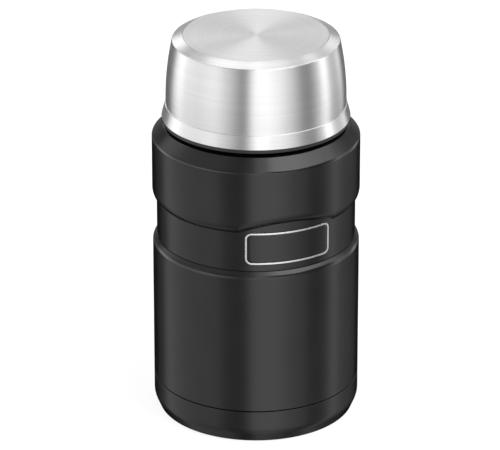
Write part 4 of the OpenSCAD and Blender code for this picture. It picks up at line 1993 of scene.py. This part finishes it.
    def rings(self, sheet: WorldSheet) -> bpy.types.NodeSocket:
        """The three rings of panels, joined by height and darkened towards the floor.

        The azimuth of the way (x, y, z) that a ray goes is atan2(x, -y), and its height is z.

        Args:
            sheet: the world's tree.

        Returns:
            The brightness, as a grey colour.
        """
        parts = sheet.nodes.new("ShaderNodeSeparateXYZ")
        sheet.links.new(sheet.way, parts.inputs[0])
        forward = sheet.maths("MULTIPLY", parts.outputs["Y"], -1.0)
        azimuth = sheet.maths("ARCTAN2", parts.outputs["X"], forward)
        share = sheet.maths("DIVIDE", azimuth, 2 * math.pi)
        share = sheet.maths("SUBTRACT", share, self.camera_azimuth / 360.0 - 0.5)
        turn = sheet.maths("FRACT", sheet.maths("ADD", share, 1.0), 0.0)
        height = parts.outputs["Z"]
        low, middle, high = (
            sheet.ring(turn, panels) for panels in (self.floor_ring, self.wall_ring, self.high_ring)
        )
        lower = sheet.blend(sheet.stepped(height, self.low_join), low, middle)
        joined = sheet.blend(sheet.stepped(height, self.high_join), lower, high)
        dim = sheet.maths(
            "MULTIPLY", sheet.stepped(height, self.low_dim), sheet.stepped(height, self.floor_dim)
        )
        dimmed = sheet.nodes.new("ShaderNodeVectorMath")
        dimmed.operation = "SCALE"
        sheet.links.new(joined, dimmed.inputs[0])
        sheet.links.new(dim, dimmed.inputs["Scale"])
        return dimmed.outputs[0]

    def round_softboxes(self, sheet: WorldSheet) -> bpy.types.NodeSocket:
        """The sum of the round softboxes.

        Each fades between its outer and inner angle, as a smooth step of the cosine of the angle
        between a ray's way and the softbox's own, which is their dot product.

        Args:
            sheet: the world's tree.

        Returns:
            The strength that they add.
        """
        total = 0.0
        for glow in self.glows:
            tilt = math.radians(glow.elevation)
            dot = sheet.nodes.new("ShaderNodeVectorMath")
            dot.operation = "DOT_PRODUCT"
            dot.inputs[1].default_value = around(
                self.camera_azimuth + glow.azimuth, math.cos(tilt), math.sin(tilt)
            )
            sheet.links.new(sheet.way, dot.inputs[0])
            edge, core = math.cos(math.radians(glow.outer)), math.cos(math.radians(glow.inner))
            lit = sheet.stepped(dot.outputs["Value"], Step(edge, core, high=glow.strength))
            total = sheet.maths("ADD", lit, total)
        return total

    def surround(self) -> None:
        """Makes the world.

        The camera sees white. Polished and painted surfaces see the studio: three rings of soft
        panels with darker gaps between them, near the floor, round the walls and over them,
        and the round softboxes. All else gets an even ambient light.
        """
        sheet = WorldSheet("studio_surround")
        panels, boxes, even, white = (sheet.background() for _ in range(4))
        sheet.links.new(self.rings(sheet), panels.inputs["Color"])
        sheet.links.new(self.round_softboxes(sheet), boxes.inputs["Strength"])
        even.inputs["Strength"].default_value = self.ambient
        seen = sheet.nodes.new("ShaderNodeAddShader")
        sheet.links.new(panels.outputs[0], seen.inputs[0])
        sheet.links.new(boxes.outputs[0], seen.inputs[1])
        rest = sheet.chosen("Is Glossy Ray", even.outputs[0], seen.outputs[0])
        out = sheet.nodes.new("ShaderNodeOutputWorld")
        sheet.links.new(sheet.chosen("Is Camera Ray", rest, white.outputs[0]), out.inputs["Surface"])

    def light(self) -> None:
        """Adds the lamps, each aimed at the jar's middle. Reflections come from the surround alone."""
        for k, box in enumerate(self.lamps):
            data = bpy.data.lights.new(f"softbox_{k}", "AREA")
            data.shape = "RECTANGLE"
            data.size, data.size_y, data.energy = box.width, box.tall, box.power
            lamp = bpy.data.objects.new(f"softbox_{k}", data)
            bpy.context.scene.collection.objects.link(lamp)
            lamp.location = around(self.camera_azimuth + box.azimuth, box.distance, box.height)
            lamp.rotation_euler = (Vector((0, 0, 0.1)) - lamp.location).to_track_quat("-Z", "Y").to_euler()
            lamp.visible_glossy = False

    def build(self) -> None:
        """Sets the studio up."""
        bpy.context.scene.view_settings.view_transform = "Standard"
        self.camera()
        self.floor()
        self.surround()
        self.light()
        log.info("studio: %d lamps, camera at azimuth %.1f", len(self.lamps), self.camera_azimuth)


def main() -> None:
    """Builds every sub-assembly in order and sets the studio round it."""
    logging.basicConfig(level=logging.INFO, format="%(name)s: %(message)s")
    finishes = Finishes()
    for part in (JarBody(), Nameplate(), Liner(), Stopper(), Bowl(), HiddenPieces()):
        part.build(finishes)
    Studio().build()


if __name__ == "__main__":
    main()
